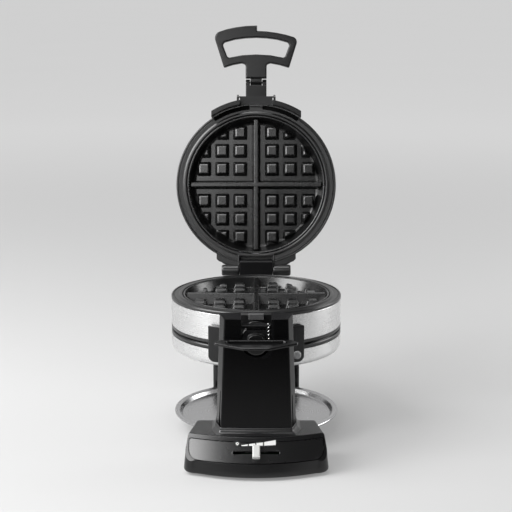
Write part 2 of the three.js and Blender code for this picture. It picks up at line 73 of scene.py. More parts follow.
# ------------------------------------------------------------------- camera
cam_data = bpy.data.cameras.new("camera")
cam = bpy.data.objects.new("camera", cam_data)
scene.collection.objects.link(cam)
cam.location = (-0.00024, -1.6345, 0.5552)
cam.rotation_euler = (math.radians(78.2), 0, 0)
cam_data.sensor_width = 36
cam_data.lens = 97.73
cam_data.clip_end = 60
scene.camera = cam


# ------------------------------------------------------------------ 2D tools
def arc(cx, cy, r, a0, a1, n):
    return [(cx + r * math.cos(math.radians(a0 + (a1 - a0) * i / n)), cy + r * math.sin(math.radians(a0 + (a1 - a0) * i / n))) for i in range(n + 1)]


class Outline(list):
    """points of a rounded polygon that remembers its corners, so that it can be inset cleanly"""
    corners = None


def fillet(pts, radii, seg=6, closed=True, counts=None):
    """a polygon with its corners rounded; radii is one number or one for each corner"""
    out = Outline()
    n = len(pts)
    used, steps = [0.0] * n, [0] * n
    out.corners = ([tuple(p) for p in pts], used, steps, seg, closed)
    for i in range(n):
        r = radii[i] if hasattr(radii, "__len__") else radii
        p = np.array(pts[i], float)
        if r <= 0 or (not closed and i in (0, n - 1)) or (counts is not None and counts[i] == 0):
            out.append(tuple(p))
            continue
        a, b = np.array(pts[i - 1], float), np.array(pts[(i + 1) % n], float)
        la, lb = np.linalg.norm(a - p), np.linalg.norm(b - p)
        u, v = (a - p) / la, (b - p) / lb
        ang = math.acos(max(-1, min(1, float(u @ v))))
        if counts is None and (ang > math.pi - 0.03 or ang < 0.03):
            out.append(tuple(p))
            continue
        d = min(r / math.tan(ang / 2), 0.48 * la, 0.48 * lb)
        r2 = d * math.tan(ang / 2)
        w = u + v
        c = p + w / np.linalg.norm(w) * (r2 / math.sin(ang / 2))
        t0, t1 = p + u * d - c, p + v * d - c
        s0 = math.atan2(t0[1], t0[0])
        ds = (math.atan2(t1[1], t1[0]) - s0 + math.pi) % (2 * math.pi) - math.pi
        k = counts[i] if counts is not None else max(2, int(math.ceil(abs(ds) / (math.pi / 2) * seg - 1e-6)))
        used[i], steps[i] = r2, k
        out += [(c[0] + r2 * math.cos(s0 + ds * j / k), c[1] + r2 * math.sin(s0 + ds * j / k)) for j in range(k + 1)]
    return out


def area2(pts):
    return sum(pts[i - 1][0] * pts[i][1] - pts[i][0] * pts[i - 1][1] for i in range(len(pts)))


def inset(pts, d):
    """a polygon moved inwards by d along its own normals"""
    s = 1 if area2(pts) > 0 else -1
    if getattr(pts, "corners", None):
        base, used, steps, seg, closed = pts.corners
        sb = 1 if area2(base) > 0 else -1
        moved_ = inset([tuple(p) for p in base], d)
        radii = []
        for i in range(len(base)):
            a, p, b = base[i - 1], base[i], base[(i + 1) % len(base)]
            cross = (p[0] - a[0]) * (b[1] - p[1]) - (p[1] - a[1]) * (b[0] - p[0])
            radii.append(max(0.04, used[i] - d if cross * sb > 0 else used[i] + d) if used[i] > 0 else 0)
        res = fillet(moved_, radii, seg, closed, steps)
        if sb != s:
            res.reverse()
        return res
    out = []
    n = len(pts)
    for i in range(n):
        a, p, b = (np.array(q, float) for q in (pts[i - 1], pts[i], pts[(i + 1) % n]))
        e0, e1 = p - a, b - p
        e0, e1 = e0 / (np.linalg.norm(e0) + 1e-12), e1 / (np.linalg.norm(e1) + 1e-12)
        n0, n1 = np.array((-e0[1], e0[0])) * s, np.array((-e1[1], e1[0])) * s
        m = n0 + n1
        m = m / (np.linalg.norm(m) + 1e-12)
        k = d / max(0.5, float(m @ n0))
        out.append((p[0] + m[0] * k, p[1] + m[1] * k))
    return out


def turned(pts):
    """the same outline walked the other way"""
    if getattr(pts, "corners", None):
        base, used, steps, seg, closed = pts.corners
        return fillet(base[::-1], used[::-1], seg, closed, steps[::-1])
    return list(pts)[::-1]


def round_rect(x0, x1, y0, y1, r, seg=6):
    return fillet([(x0, y0), (x1, y0), (x1, y1), (x0, y1)], r, seg)


# ------------------------------------------------------------------ 3D tools
def merge(*parts):
    verts, faces = [], []
    for v, f in parts:
        k = len(verts)
        verts += [tuple(p) for p in v]
        faces += [tuple(i + k for i in q) for q in f]
    return verts, faces


def moved(part, m):
    v, f = part
    return [tuple(m @ Vector(p)) for p in v], f


def lathe(profile, n=160, closed=True):
    verts, faces, rows = [], [], []
    for r, z in profile:
        if r < 1e-6:
            rows.append([len(verts)])
            verts.append((0, 0, z))
        else:
            k = len(verts)
            rows.append(list(range(k, k + n)))
            verts += [(r * math.sin(2 * math.pi * i / n), -r * math.cos(2 * math.pi * i / n), z) for i in range(n)]
    m = len(profile)
    for k in range(m if closed else m - 1):
        a, b = rows[k], rows[(k + 1) % m]
        if len(a) == 1 and len(b) == 1:
            continue
        for i in range(n):
            j = (i + 1) % n
            if len(a) == 1:
                faces.append((a[0], b[i], b[j]))
            elif len(b) == 1:
                faces.append((a[i], b[0], a[j]))
            else:
                faces.append((a[i], b[i], b[j], a[j]))
    return verts, faces


def loft(rings, cap=True, closed=False):
    n = len(rings[0])
    verts = [tuple(p) for r in rings for p in r]
    faces = []
    m = len(rings)
    for k in range(m if closed else m - 1):
        for i in range(n):
            j = (i + 1) % n
            a, b = k * n, ((k + 1) % m) * n
            faces.append((a + i, a + j, b + j, b + i))
    if cap and not closed:
        faces.append(tuple(range(n - 1, -1, -1)))
        faces.append(tuple(range((m - 1) * n, m * n)))
    return verts, faces


def slab(outline, z0, z1, b0=0.0, b1=0.0, holes=(), seg=3):
    """an outline raised from z0 to z1, its lower and upper edges rounded by b0 and b1"""
    levels = []
    if b0 > 0:
        levels += [(b0 * (1 - math.cos(t)), z0 + b0 * (1 - math.sin(t))) for t in (math.pi / 2 * (1 - k / seg) for k in range(seg + 1))][::1]
        levels = [(b0 * (1 - math.sin(math.pi / 2 * k / seg)), z0 + b0 * (1 - math.cos(math.pi / 2 * k / seg))) for k in range(seg + 1)]
    else:
        levels = [(0.0, z0)]
    if b1 > 0:
        levels += [(b1 * (1 - math.cos(math.pi / 2 * k / seg)), z1 - b1 * (1 - math.sin(math.pi / 2 * k / seg))) for k in range(seg + 1)]
    else:
        levels += [(0.0, z1)]
    verts, faces = [], []
    loops = [outline] + list(holes)
    ends = []
    for h, loop in enumerate(loops):
        if (area2(loop) > 0) == (h > 0):
            loop = turned(loop)
        n = len(loop)
        first = len(verts)
        for d, z in levels:
            ring = inset(loop, d if h == 0 else -d) if d > 0 else loop
            verts += [(x, y, z) for x, y in ring]
        for k in range(len(levels) - 1):
            for i in range(n):
                j = (i + 1) % n
                a, b = first + k * n, first + (k + 1) * n
                faces.append((a + i, a + j, b + j, b + i))
        ends.append((list(range(first, first + n)), list(range(first + (len(levels) - 1) * n, first + len(levels) * n))))
    for e, flip in ((0, True), (1, False)):
        if len(loops) == 1:
            q = ends[0][e]
            faces.append(tuple(q[::-1] if flip else q))
            continue
        idx = [i for loop in ends for i in loop[e]]
        for t in tessellate_polygon([[Vector(verts[i]) for i in loop[e]] for loop in ends]):
            q = tuple(idx[i] for i in t)
            faces.append(q[::-1] if flip else q)
    return verts, faces


def xz(part):
    """a slab drawn in (x, z) and raised along -y becomes one standing up: (x, y, z) -> (x, z, y)"""
    v, f = part
    return [(p[0], p[2], p[1]) for p in v], [q[::-1] for q in f]


def yz(part):
    """a slab drawn in (y, z) and raised along x"""
    v, f = part
    return [(p[2], p[0], p[1]) for p in v], f


def rod(r, z0, z1, cx=0.0, cy=0.0, b=0.5, n=48, seg=3):
    prof = [(0, z0)] + [(r - b + b * math.sin(t), z0 + b * (1 - math.cos(t))) for t in (math.pi / 2 * k / seg for k in range(seg + 1))]
    prof += [(r - b + b * math.cos(t), z1 - b * (1 - math.sin(t))) for t in (math.pi / 2 * k / seg for k in range(seg + 1))] + [(0, z1)]
    v, f = lathe(prof, n, closed=False)
    return [(x + cx, y + cy, z) for x, y, z in v], f


def rod_y(r, y0, y1, cx, cz, b=0.5, n=48):
    v, f = rod(r, y0, y1, 0, 0, b, n)
    return [(x + cx, z, y + cz) for x, y, z in v], [q[::-1] for q in f]


def rod_x(r, x0, x1, cy, cz, b=0.5, n=40):
    v, f = rod(r, x0, x1, 0, 0, b, n)
    return [(z, x + cy, y + cz) for x, y, z in v], f


def brick(x0, x1, y0, y1, z0, z1, r=1.0, b=0.6, seg=4):
    return slab(round_rect(x0, x1, y0, y1, min(r, 0.49 * (x1 - x0), 0.49 * (y1 - y0)), seg), z0, z1, b, b, seg=3)


def obj_of(name, part, xf=BASE):
    v, f = part
    me = bpy.data.meshes.new(name)
    me.from_pydata([tuple(xf @ Vector(p)) for p in v], [], f)
    bm = bmesh.new()
    bm.from_mesh(me)
    bmesh.ops.remove_doubles(bm, verts=bm.verts, dist=1e-7)
    bmesh.ops.recalc_face_normals(bm, faces=bm.faces)
    bm.to_mesh(me)
    bm.free()
    o = bpy.data.objects.new(name, me)
    scene.collection.objects.link(o)
    return o


def bake_mods(o):
    dg = bpy.context.evaluated_depsgraph_get()
    me = bpy.data.meshes.new_from_object(o.evaluated_get(dg), depsgraph=dg)
    old = o.data
    o.modifiers.clear()
    o.data = me
    bpy.data.meshes.remove(old)
    me.name = o.name
    return o


def boolean(o, part, op="DIFFERENCE", xf=BASE):
    parts = part if isinstance(part, list) else [part]
    tools = []
    for k, p in enumerate(parts):
        c = obj_of("tool", p, xf)
        m = o.modifiers.new("b%d" % k, "BOOLEAN")
        m.operation, m.solver, m.object = op, "EXACT", c
        tools.append(c)
    bake_mods(o)
    for c in tools:
        me = c.data
        bpy.data.objects.remove(c)
        bpy.data.meshes.remove(me)
    return o


def bevel(o, width, seg=2, angle=30):
    m = o.modifiers.new("bevel", "BEVEL")
    m.width, m.segments, m.limit_method, m.angle_limit = width * 0.001, seg, "ANGLE", math.radians(angle)
    m.use_clamp_overlap = True
    m.miter_outer = "MITER_ARC"
    return bake_mods(o)


def finish(o, mat, body, *nodes, slot=None, angle=32, weight=True, level=None):
    me = o.data
    me.materials.clear()
    me.materials.append(mat)
    for p in me.polygons:
        p.use_smooth = True
    me.set_sharp_from_angle(angle=math.radians(angle))
    if level is not None:                      # faces square to this direction are flat
        for p in me.polygons:
            if abs(p.normal.dot(level)) > 0.9998:
                p.use_smooth = False
    if weight:
        m = o.modifiers.new("normals", "WEIGHTED_NORMAL")
        m.keep_sharp = True
        m.weight = 70
    if nodes:
        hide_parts(*nodes)
    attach(o, body)
    return o


# ---------------------------------------------------------------- materials
class Nodes:
    def __init__(self, name):
        self.mat = bpy.data.materials.new(name)
        self.mat.use_nodes = True
        self.t = self.mat.node_tree
        self.t.nodes.clear()
        self.out = self.t.nodes.new("ShaderNodeOutputMaterial")
        self.bsdf = self.t.nodes.new("ShaderNodeBsdfPrincipled")
        self.t.links.new(self.bsdf.outputs[0], self.out.inputs[0])

    def add(self, kind, **values):
        n = self.t.nodes.new(kind)
        for k, v in values.items():
            setattr(n, k, v)
        return n

    def link(self, a, b):
        self.t.links.new(a, b)

    def val(self, sock, v):
        sock.default_value = v

    def math(self, op, a, b=None, c=None):
        n = self.add("ShaderNodeMath", operation=op)
        for i, x in enumerate((a, b, c)):
            if x is None:
                continue
            if isinstance(x, (int, float)):
                n.inputs[i].default_value = x
            else:
                self.link(x, n.inputs[i])
        return n.outputs[0]

    def noise(self, vec, scale, detail=3.0, rough=0.55):
        n = self.add("ShaderNodeTexNoise")
        n.inputs["Scale"].default_value = scale
        n.inputs["Detail"].default_value = detail
        n.inputs["Roughness"].default_value = rough
        self.link(vec, n.inputs["Vector"])
        return n.outputs[0]

    def span(self, x, a0, a1, b0, b1):
        n = self.add("ShaderNodeMapRange")
        for i, v in enumerate((a0, a1, b0, b1)):
            n.inputs[i + 1].default_value = v
        self.link(x, n.inputs[0])
        return n.outputs[0]

    def mix(self, f, a, b):
        n = self.add("ShaderNodeMix", data_type="RGBA")
        self.link(f, n.inputs[0]) if not isinstance(f, (int, float)) else self.val(n.inputs[0], f)
        for i, x in ((6, a), (7, b)):
            if isinstance(x, tuple):
                n.inputs[i].default_value = (*x, 1.0) if len(x) == 3 else x
            else:
                self.link(x, n.inputs[i])
        return n.outputs[2]

    def coords(self):
        return self.add("ShaderNodeTexCoord").outputs["Object"]

    def bump(self, h, strength, dist, normal=None):
        n = self.add("ShaderNodeBump")
        n.inputs["Strength"].default_value = strength
        n.inputs["Distance"].default_value = dist
        self.link(h, n.inputs["Height"])
        if normal is not None:
            self.link(normal, n.inputs["Normal"])
        return n.outputs[0]


def scaled(c, k):
    return tuple(min(1.0, v * k) for v in c)


def plastic(name, base, rough, grain=1500.0, bump=0.12, spec=0.4, wear_and_highlight=0.5, coat=0.0, dist=0.00006, sheen=0.0):
    """moulded plastic: fine spark-eroded grain, slow changes of gloss, and edges painted lighter, a painted highlight
    that also stands for rubbed wear
    """
    n = Nodes(name)
    p = n.coords()
    fine, mid, slow = n.noise(p, grain, 2.0, 0.6), n.noise(p, 140.0, 4.0), n.noise(p, 16.0, 3.0)
    geo = n.add("ShaderNodeNewGeometry")
    # painted highlight: convex edges, found by Pointiness, are mixed towards a five times lighter tone, partly standing
    # for rubbed wear
    edge = n.span(geo.outputs["Pointiness"], 0.515, 0.60, 0.0, wear_and_highlight)
    tone = n.mix(slow, scaled(base, 0.86), scaled(base, 1.16))
    tone = n.mix(edge, tone, scaled(base, 5.0))
    n.link(tone, n.bsdf.inputs["Base Color"])
    r = n.math("ADD", n.span(mid, 0.3, 0.7, -0.005, 0.005), n.span(slow, 0.3, 0.7, rough - 0.012, rough + 0.012))
    n.link(r, n.bsdf.inputs["Roughness"])
    n.link(n.bump(fine, bump, dist), n.bsdf.inputs["Normal"])
    n.bsdf.inputs["Specular IOR Level"].default_value = spec
    if sheen:
        n.bsdf.inputs["Sheen Weight"].default_value = sheen
        n.bsdf.inputs["Sheen Roughness"].default_value = 0.35
    if coat:
        n.bsdf.inputs["Coat Weight"].default_value = coat
        n.bsdf.inputs["Coat Roughness"].default_value = 0.12
    return n.mat


def nonstick(name, base, rough, spec=0.55):
    """non-stick coating over a casting: orange peel and a faint speckle"""
    n = Nodes(name)
    p = n.coords()
    peel, speck, slow = n.noise(p, 650.0, 2.0, 0.5), n.noise(p, 3800.0, 1.0, 0.5), n.noise(p, 22.0, 4.0)
    tone = n.mix(n.span(slow, 0.3, 0.7, 0.0, 1.0), scaled(base, 0.82), scaled(base, 1.2))
    tone = n.mix(n.span(speck, 0.60, 0.74, 0.0, 0.35), tone, scaled(base, 3.2))
    n.link(tone, n.bsdf.inputs["Base Color"])
    n.link(n.span(slow, 0.3, 0.7, rough - 0.05, rough + 0.05), n.bsdf.inputs["Roughness"])
    n.link(n.bump(peel, 0.22, 0.00012, n.bump(speck, 0.08, 0.00003)), n.bsdf.inputs["Normal"])
    n.bsdf.inputs["Specular IOR Level"].default_value = spec
    n.bsdf.inputs["Metallic"].default_value = 0.0
    return n.mat


def steel(name, base, rough, centre=None, turn=None, mode="round", line=2600.0, bump=0.05, aniso=0.5):
    """brushed stainless steel; mode round has its lines run round Z through centre, flat has them run along x"""
    n = Nodes(name)
    p = n.coords()
    if centre is not None:
        m = n.add("ShaderNodeMapping", vector_type="TEXTURE")
        m.inputs["Location"].default_value = centre
        if turn is not None:
            m.inputs["Rotation"].default_value = turn
        n.link(p, m.inputs["Vector"])
        p = m.outputs[0]
    s = n.add("ShaderNodeSeparateXYZ")
    n.link(p, s.inputs[0])
    x, y, z = s.outputs
    if mode == "round":
        rad = n.math("SQRT", n.math("ADD", n.math("MULTIPLY", x, x), n.math("MULTIPLY", y, y)))
        ang = n.math("ARCTAN2", x, n.math("MULTIPLY", y, -1.0))
        c = n.add("ShaderNodeCombineXYZ")
        n.link(n.math("MULTIPLY", ang, 1.6), c.inputs[0])
        n.link(n.math("MULTIPLY", rad, line), c.inputs[1])
        n.link(n.math("MULTIPLY", z, line), c.inputs[2])
    else:
        c = n.add("ShaderNodeCombineXYZ")
        n.link(n.math("MULTIPLY", x, 14.0), c.inputs[0])
        n.link(n.math("MULTIPLY", y, line), c.inputs[1])
        n.link(n.math("MULTIPLY", z, line), c.inputs[2])
    brush = n.noise(c.outputs[0], 1.0, 5.0, 0.65)
    slow = n.noise(n.coords(), 9.0, 3.0)
    smear = n.noise(n.coords(), 60.0, 3.0)
    tone = n.mix(n.span(brush, 0.35, 0.65, 0.0, 1.0), scaled(base, 0.95), scaled(base, 1.04))
    tone = n.mix(n.span(slow, 0.35, 0.65, 0.0, 0.25), tone, scaled(base, 0.93))
    n.link(tone, n.bsdf.inputs["Base Color"])
    r = n.math("ADD", n.span(brush, 0.35, 0.65, rough - 0.025, rough + 0.03), n.span(smear, 0.35, 0.65, -0.02, 0.025))
    n.link(r, n.bsdf.inputs["Roughness"])
    n.link(n.bump(brush, bump, 0.00004), n.bsdf.inputs["Normal"])
    n.bsdf.inputs["Metallic"].default_value = 1.0
    n.bsdf.inputs["Anisotropic"].default_value = aniso
    n.bsdf.inputs["Anisotropic Rotation"].default_value = 0.25
    return n.mat


CENTRE = (0.0, SHIFT_Y * 0.001, SHIFT_Z * 0.001)
M_HOUSING = plastic("housing_plastic", (0.0055, 0.0055, 0.0058), 0.25, grain=1700, bump=0.03, spec=0.45)
M_FASCIA = plastic("fascia_plastic", (0.0055, 0.0055, 0.0058), 0.27, grain=1700, bump=0.03, spec=0.75)
M_COLLAR = plastic("collar_plastic", (0.0060, 0.0060, 0.0064), 0.30, grain=1700, bump=0.06, spec=0.8)
M_COLUMN = plastic("column_plastic", (0.0018, 0.0018, 0.0020), 0.24, grain=1700, bump=0.03, spec=0.20)
M_RIM = plastic("rim_plastic", (0.0075, 0.0075, 0.0077), 0.31, grain=1400, bump=0.08, spec=0.65)
M_HANDLE = plastic("handle_plastic", (0.0060, 0.0060, 0.0062), 0.31, grain=1200, bump=0.08, spec=0.36)
# the grip's edges are painted much lighter than the other plastics: a painted highlight standing for its bright edge
# lines
M_GRIP = plastic("grip_plastic", (0.0050, 0.0050, 0.0052), 0.22, grain=1400, bump=0.04, spec=0.50, wear_and_highlight=0.8)
M_HINGE = plastic("hinge_plastic", (0.004, 0.004, 0.0043), 0.28, grain=1500, bump=0.05, spec=0.22)
M_KEEPER = plastic("keeper_plastic", (0.045, 0.045, 0.046), 0.42, grain=1500, bump=0.1, spec=0.5)
M_BRACKET = plastic("bracket_plastic", (0.0055, 0.0055, 0.0057), 0.30, grain=1300, bump=0.05, spec=0.28)
# painted shadow: a near-black matt material for a strip laid where the catch's skirt shades the ring
M_SHADE_LINER = plastic("painted_shade_liner", (0.0015, 0.0015, 0.0015), 0.7, grain=900, bump=0.1, spec=0.06, wear_and_highlight=0.0)
M_GRID = nonstick("nonstick_coating", (0.0055, 0.0055, 0.0056), 0.26, spec=0.72)
M_BAND = steel("band_steel", (0.74, 0.74, 0.74), 0.27, centre=CENTRE)
M_SHELL = steel("shell_steel", (0.77, 0.77, 0.77), 0.28, centre=CENTRE)
M_LIDSHELL = steel("lid_shell_steel", (0.78, 0.78, 0.78), 0.28, centre=tuple(LID @ Vector((0, 0, 0))), turn=(math.radians(-LID_OPEN), 0, 0))
M_TRAY = steel("tray_steel", (0.52, 0.52, 0.525), 0.24, centre=CENTRE, line=1500.0, bump=0.03, aniso=0.3)
M_PIN = steel("pin_steel", (0.62, 0.62, 0.62), 0.25, mode="flat", line=900.0, aniso=0.2)
M_RUBBER = plastic("foot_rubber", (0.012, 0.012, 0.012), 0.75, grain=900, bump=0.3, spec=0.25, wear_and_highlight=0.2)
M_WHITE = plastic("slider_plastic", (0.50, 0.50, 0.49), 0.34, grain=1600, bump=0.05, spec=0.5, wear_and_highlight=0.0)
M_PRINT = plastic("panel_print", (0.68, 0.68, 0.67), 0.5, grain=2200, bump=0.06, spec=0.3, wear_and_highlight=0.0)
M_LENS = plastic("lens_plastic", (0.36, 0.365, 0.37), 0.22, grain=800, bump=0.04, spec=0.5, wear_and_highlight=0.2, coat=0.3)
M_BOARD = plastic("board_laminate", (0.003, 0.010, 0.005), 0.6, grain=1000, bump=0.1)
M_ROD = steel("heater_steel", (0.25, 0.24, 0.23), 0.5, mode="flat", line=400.0)


# ------------------------------------------------------------- cooking grid
def peg_ring(cx, cy, h, lim, r, z, n=40):
    """outline of a rounded square of half size h inside a disc of radius lim, at height z"""
    r = min(r, 0.45 * h)
    e = h - r
    poly = [(cx - e, cy - e), (cx + e, cy - e), (cx + e, cy + e), (cx - e, cy + e)]
    big = lim - r
    for k in range(120):                       # clip by the disc
        a = 2 * math.pi * k / 120
        nx, ny = math.cos(a), math.sin(a)
        out = []
        m = len(poly)
        if m == 0:
            return None
        for i in range(m):
            p, q = poly[i], poly[(i + 1) % m]
            dp, dq = p[0] * nx + p[1] * ny - big, q[0] * nx + q[1] * ny - big
            if dp <= 0:
                out.append(p)
            if dp * dq < 0:
                t = dp / (dp - dq)
                out.append((p[0] + (q[0] - p[0]) * t, p[1] + (q[1] - p[1]) * t))
        poly = out
    if len(poly) < 3:
        return None
    ring = []
    for i in range(n):
        a = 2 * math.pi * (i + 0.5) / n
        c, s = math.cos(a), math.sin(a)
        best = max(poly, key=lambda p: p[0] * c + p[1] * s)
        ring.append((best[0] + r * c, best[1] + r * s, z))
    return ring


def grid_part():
    """one cooking grid opening upwards with its face plane at z = 0"""
    floor = -CAV_DEPTH
    under = floor - PLATE_T
    prof = fillet([(0, under), (80.0, under), (87.3, -3.6), (R_CAV - 0.35, -3.2), (R_CAV - 0.35, -0.45), (86.4, -0.45), (79.4, floor), (0, floor)],
                  [0, 3.0, 1.0, 0.5, 0.6, 1.2, 3.4, 0], 7)
    parts = [lathe(prof, 176, closed=False)]
    for i in range(3):
        for j in range(3):
            if i + j > 3:
                continue
            for sx in (-1, 1):
                for sy in (-1, 1):
                    cx, cy = sx * (CELL_0 + CELL * i), sy * (CELL_0 + CELL * j)
                    hb, ht = PEG_BASE / 2 + 0.35, PEG_TOP / 2 - 0.75
                    levels = [(-0.8, hb + 1.0, 2.0, 80.2), (0.25, hb + 0.42, 1.8, 79.6), (0.6, hb + 0.02, 1.6, 79.1), (1.2, hb - 0.26, 1.5, 78.8),
                              (PEG_H - 0.95, ht + 0.46, 1.1, 77.1), (PEG_H - 0.76, ht + 0.36, 1.05, 77.0), (PEG_H - 0.07, ht - 0.74, 0.8, 76.0), (PEG_H, ht - 0.95, 0.7, 75.8)]
                    rings = [peg_ring(cx, cy, h, lim, r, floor + z) for z, h, r, lim in levels]
                    if any(r is None for r in rings):
                        rings = [r for r in rings if r is not None]
                        if len(rings) < 4:
                            continue
                    parts.append(loft(rings))
    for turn in (0, 1):                        # ridge-shaped dividing ribs
        sec = fillet([(-6.4, floor - 1.2), (-5.4, floor + 0.15), (-2.6, -0.9), (2.6, -0.9), (5.4, floor + 0.15), (6.4, floor - 1.2)], [0, 1.2, 1.3, 1.3, 1.2, 0], 6)
        rings = []
        for k, u in enumerate(np.linspace(-83.2, 83.2, 41)):
            rings.append([(u, s, z) if turn == 0 else (s, u, z) for s, z in (sec if turn == 0 else sec[::-1])])
        parts.append(loft(rings))
    return parts


GRID = grid_part()


def grid_object(name, xf, node, body):
    o = obj_of(name, GRID[0], xf)
    # the ribs are cut to the well and joined, so that the casting is one skin
    well = lathe(fillet([(0, -CAV_DEPTH - 1.2), (79.0, -CAV_DEPTH - 1.2), (86.9, -0.6), (0, -0.6)], [0, 2, 0.5, 0], 3), 96, closed=False)
    ribs = obj_of("ribs", GRID[-1], xf)
    boolean(ribs, GRID[-2], "UNION", xf)
    boolean(ribs, well, "INTERSECT", xf)
    pegs = obj_of("pegs", merge(*GRID[1:-2]), xf)
    for part in (ribs, pegs):
        m = o.modifiers.new("join", "BOOLEAN")
        m.operation, m.solver, m.object = "UNION", "EXACT", part
    bake_mods(o)
    for part in (ribs, pegs):
        me = part.data
        bpy.data.objects.remove(part)
        bpy.data.meshes.remove(me)
    return finish(o, M_GRID, body, node, slot="nonstick_grid", angle=25, level=Vector((0, 0, 1)))


def at(z, base=BASE):
    return base @ Matrix.Translation((0, 0, z))


first = grid_object("grid_middle_upper", at(0), "middle_grid_upper", "head")
me0 = first.data


def grid_copy(name, xf_to, node, body):
    """the same casting in another place"""
    me = me0.copy()
    me.name = name
    m = xf_to @ at(0).inverted()
    me.transform(m)
    if m.determinant() < 0:
        me.flip_normals()
    o = bpy.data.objects.new(name, me)
    scene.collection.objects.link(o)
    return finish(o, M_GRID, body, node, slot="nonstick_grid", angle=25, level=(m.to_3x3() @ Vector((0, 0, 1))).normalized())


grid_copy("grid_middle_lower", FLIP, "middle_grid_lower", "head")
grid_copy("grid_lower_lid", at(-MID_T - GAP), "lower_lid_grid", "lower_lid")
grid_copy("grid_upper_lid", LID @ Matrix.Translation((0, 0, GAP)) @ Matrix.Scale(-1, 4, (0, 0, 1)), "upper_lid_grid", "upper_lid")


# ------------------------------------------------------------ head, middle
def rim_profile():
    return fillet([(R_CAV, -4.5), (R_CAV, -2.0), (89.6, -0.15), (92.3, -0.15), (94.0, -1.3), (98.7, -1.1), (99.2, -1.8), (99.9, -1.8), (100.5, -0.8), (R_HEAD - 0.7, -0.8), (R_HEAD, -1.8), (R_HEAD, -4.5)],
                  [0, 1.0, 1.5, 1.5, 1.0, 0.25, 0.2, 0.2, 0.4, 0.8, 0.5, 0], 5)


rim_top = lathe(rim_profile(), 192)
frame_mid = obj_of("frame_middle", rim_top)
rim_low = moved(rim_top, Matrix.Translation((0, 0, 2 * AXIS_Z)) @ Matrix.Scale(-1, 4, (0, 0, 1)))
spine = lathe([(90.5, -RIM_H + 0.3), (94.5, -RIM_H + 0.3), (94.5, -MID_T + RIM_H - 0.3), (90.5, -MID_T + RIM_H - 0.3)], 96)
boolean(frame_mid, [spine, rim_low], "UNION")
finish(frame_mid, M_RIM, "head", "middle_frame", slot="rim_black")

band_prof = fillet([(R_HEAD - 1.3, -RIM_H - 0.25), (R_HEAD - 0.25, -RIM_H - 0.25), (R_HEAD - 0.25, -MID_T + RIM_H + 0.25), (R_HEAD - 1.3, -MID_T + RIM_H + 0.25)], [0.2, 0.45, 0.45, 0.2], 4)
finish(obj_of("band_middle", lathe(band_prof, 224)), M_BAND, "head", "middle_band", slot="brushed_shell")


def arc_plate(r0, r1, a0, a1, n=28, r_end=2.0):
    outer = [(r1 * math.sin(math.radians(a0 + (a1 - a0) * i / n)), -r1 * math.cos(math.radians(a0 + (a1 - a0) * i / n))) for i in range(n + 1)]
    inner = [(r0 * math.sin(math.radians(a0 + (a1 - a0) * i / n)), -r0 * math.cos(math.radians(a0 + (a1 - a0) * i / n))) for i in range(n + 1)]
    pts = outer + inner[::-1]
    radii = [0.0] * len(pts)
    for k, r in ((0, 1.6), (n, 1.6), (n + 1, 0.8), (2 * n + 1, 0.8)):
        radii[k] = r
    return fillet(pts, radii, 4)


# --------------------------------------------------------------------- lids
def lid_ring_object(name, xf, node, body, recess=False):
    prof = fillet([(R_CAV, 6.1), (R_CAV, LZ + 2.2), (89.6, LZ), (92.3, LZ), (94.0, LZ + 1.3), (98.7, LZ + 1.1), (99.2, LZ + 1.9), (99.9, LZ + 1.9), (100.5, LZ + 0.8), (R_HEAD - 0.7, LZ + 0.8), (R_HEAD, LZ + 1.9), (R_HEAD, LZ + RIM_H + 0.2), (R_HEAD - 1.2, 6.1)],
                  [0, 1.0, 1.5, 1.5, 1.0, 0.25, 0.2, 0.2, 0.4, 0.8, 0.6, 0.6, 0], 5)
    o = obj_of(name, lathe(prof, 192), xf)
    cuts = [brick(-21.3, 21.3, 91.7, 130, -10, 30, 1.2, 0.4)]
    if recess:                             # hollow under the catch's skirt, both sides of the middle
        for a0, a1 in ((-33.0, -4.6), (4.6, 33.0)):
            cuts.append(slab(arc_plate(96.6, 103.6, a0, a1, 24), LZ - 2, LZ + 3.9, 0, 0))
    boolean(o, cuts, "DIFFERENCE", xf)
    add = []
    for s in (-1, 1):
        lobe = fillet([(s * 21.3, 89.5), (s * 21.3, 107.2), (s * 24.2, 106.9), (s * 48.0, 98.4), (s * 51.0, 95.4), (s * 51.0, 87.0), (s * 44.0, 84.0)], [0, 0.9, 1.5, 2.2, 1.6, 0, 0], 5)
        add.append(slab(lobe, LZ + 1.25, LZ + 5.0, 0.6, 0.5))
        x0, x1 = sorted((s * 21.3, s * 23.9))
        add.append(slab(round_rect(x0, x1, 90.6, 107.0, 1.1, 4), LZ, LZ + 4, 1.1, 0, seg=4))
        x0, x1 = sorted((s * 21.3, s * 44.4))
        add.append(rod_x(7.2, x0, x1, HINGE_Y, HINGE_Z + 0.1, 2.2, 56))
        add.append(slab(fillet([(s * 21.3, 96), (s * 21.3, 108.5), (s * 30, 107.5), (s * 44, 100.5), (s * 44, 94)], [0, 0.5, 2, 2, 0], 4), LZ + 2.0, LZ + 8.6, 0, 0.8))
        x0, x1 = sorted((s * 21.3, s * 22.2))
        add.append(brick(x0, x1, 90.6, 98.6, LZ + 3.5, LZ + 20.8, 0.3, 0.2))
    add.append(slab(round_rect(-23.9, 23.9, 89.2, 91.9, 1.1, 4), LZ, LZ + 4.5, 1.1, 0, seg=4))
    add.append(brick(-22.2, 22.2, 89.5, 91.0, LZ + 3.5, LZ + 20.8, 0.3, 0.2))
    add.append(brick(-22.2, 22.2, 89.7, 99.2, LZ + 19.6, LZ + 21.0, 0.8, 0.3))
    boolean(o, add, "UNION", xf)
    boolean(o, [rod_x(2.6, -60, 60, HINGE_Y, HINGE_Z, 0.1, 32), lathe([(0, -20), (R_CAV, -20), (R_CAV, 22), (0, 22)], 192, closed=False)], "DIFFERENCE", xf)
    return finish(o, M_RIM, body, node, slot="rim_black")


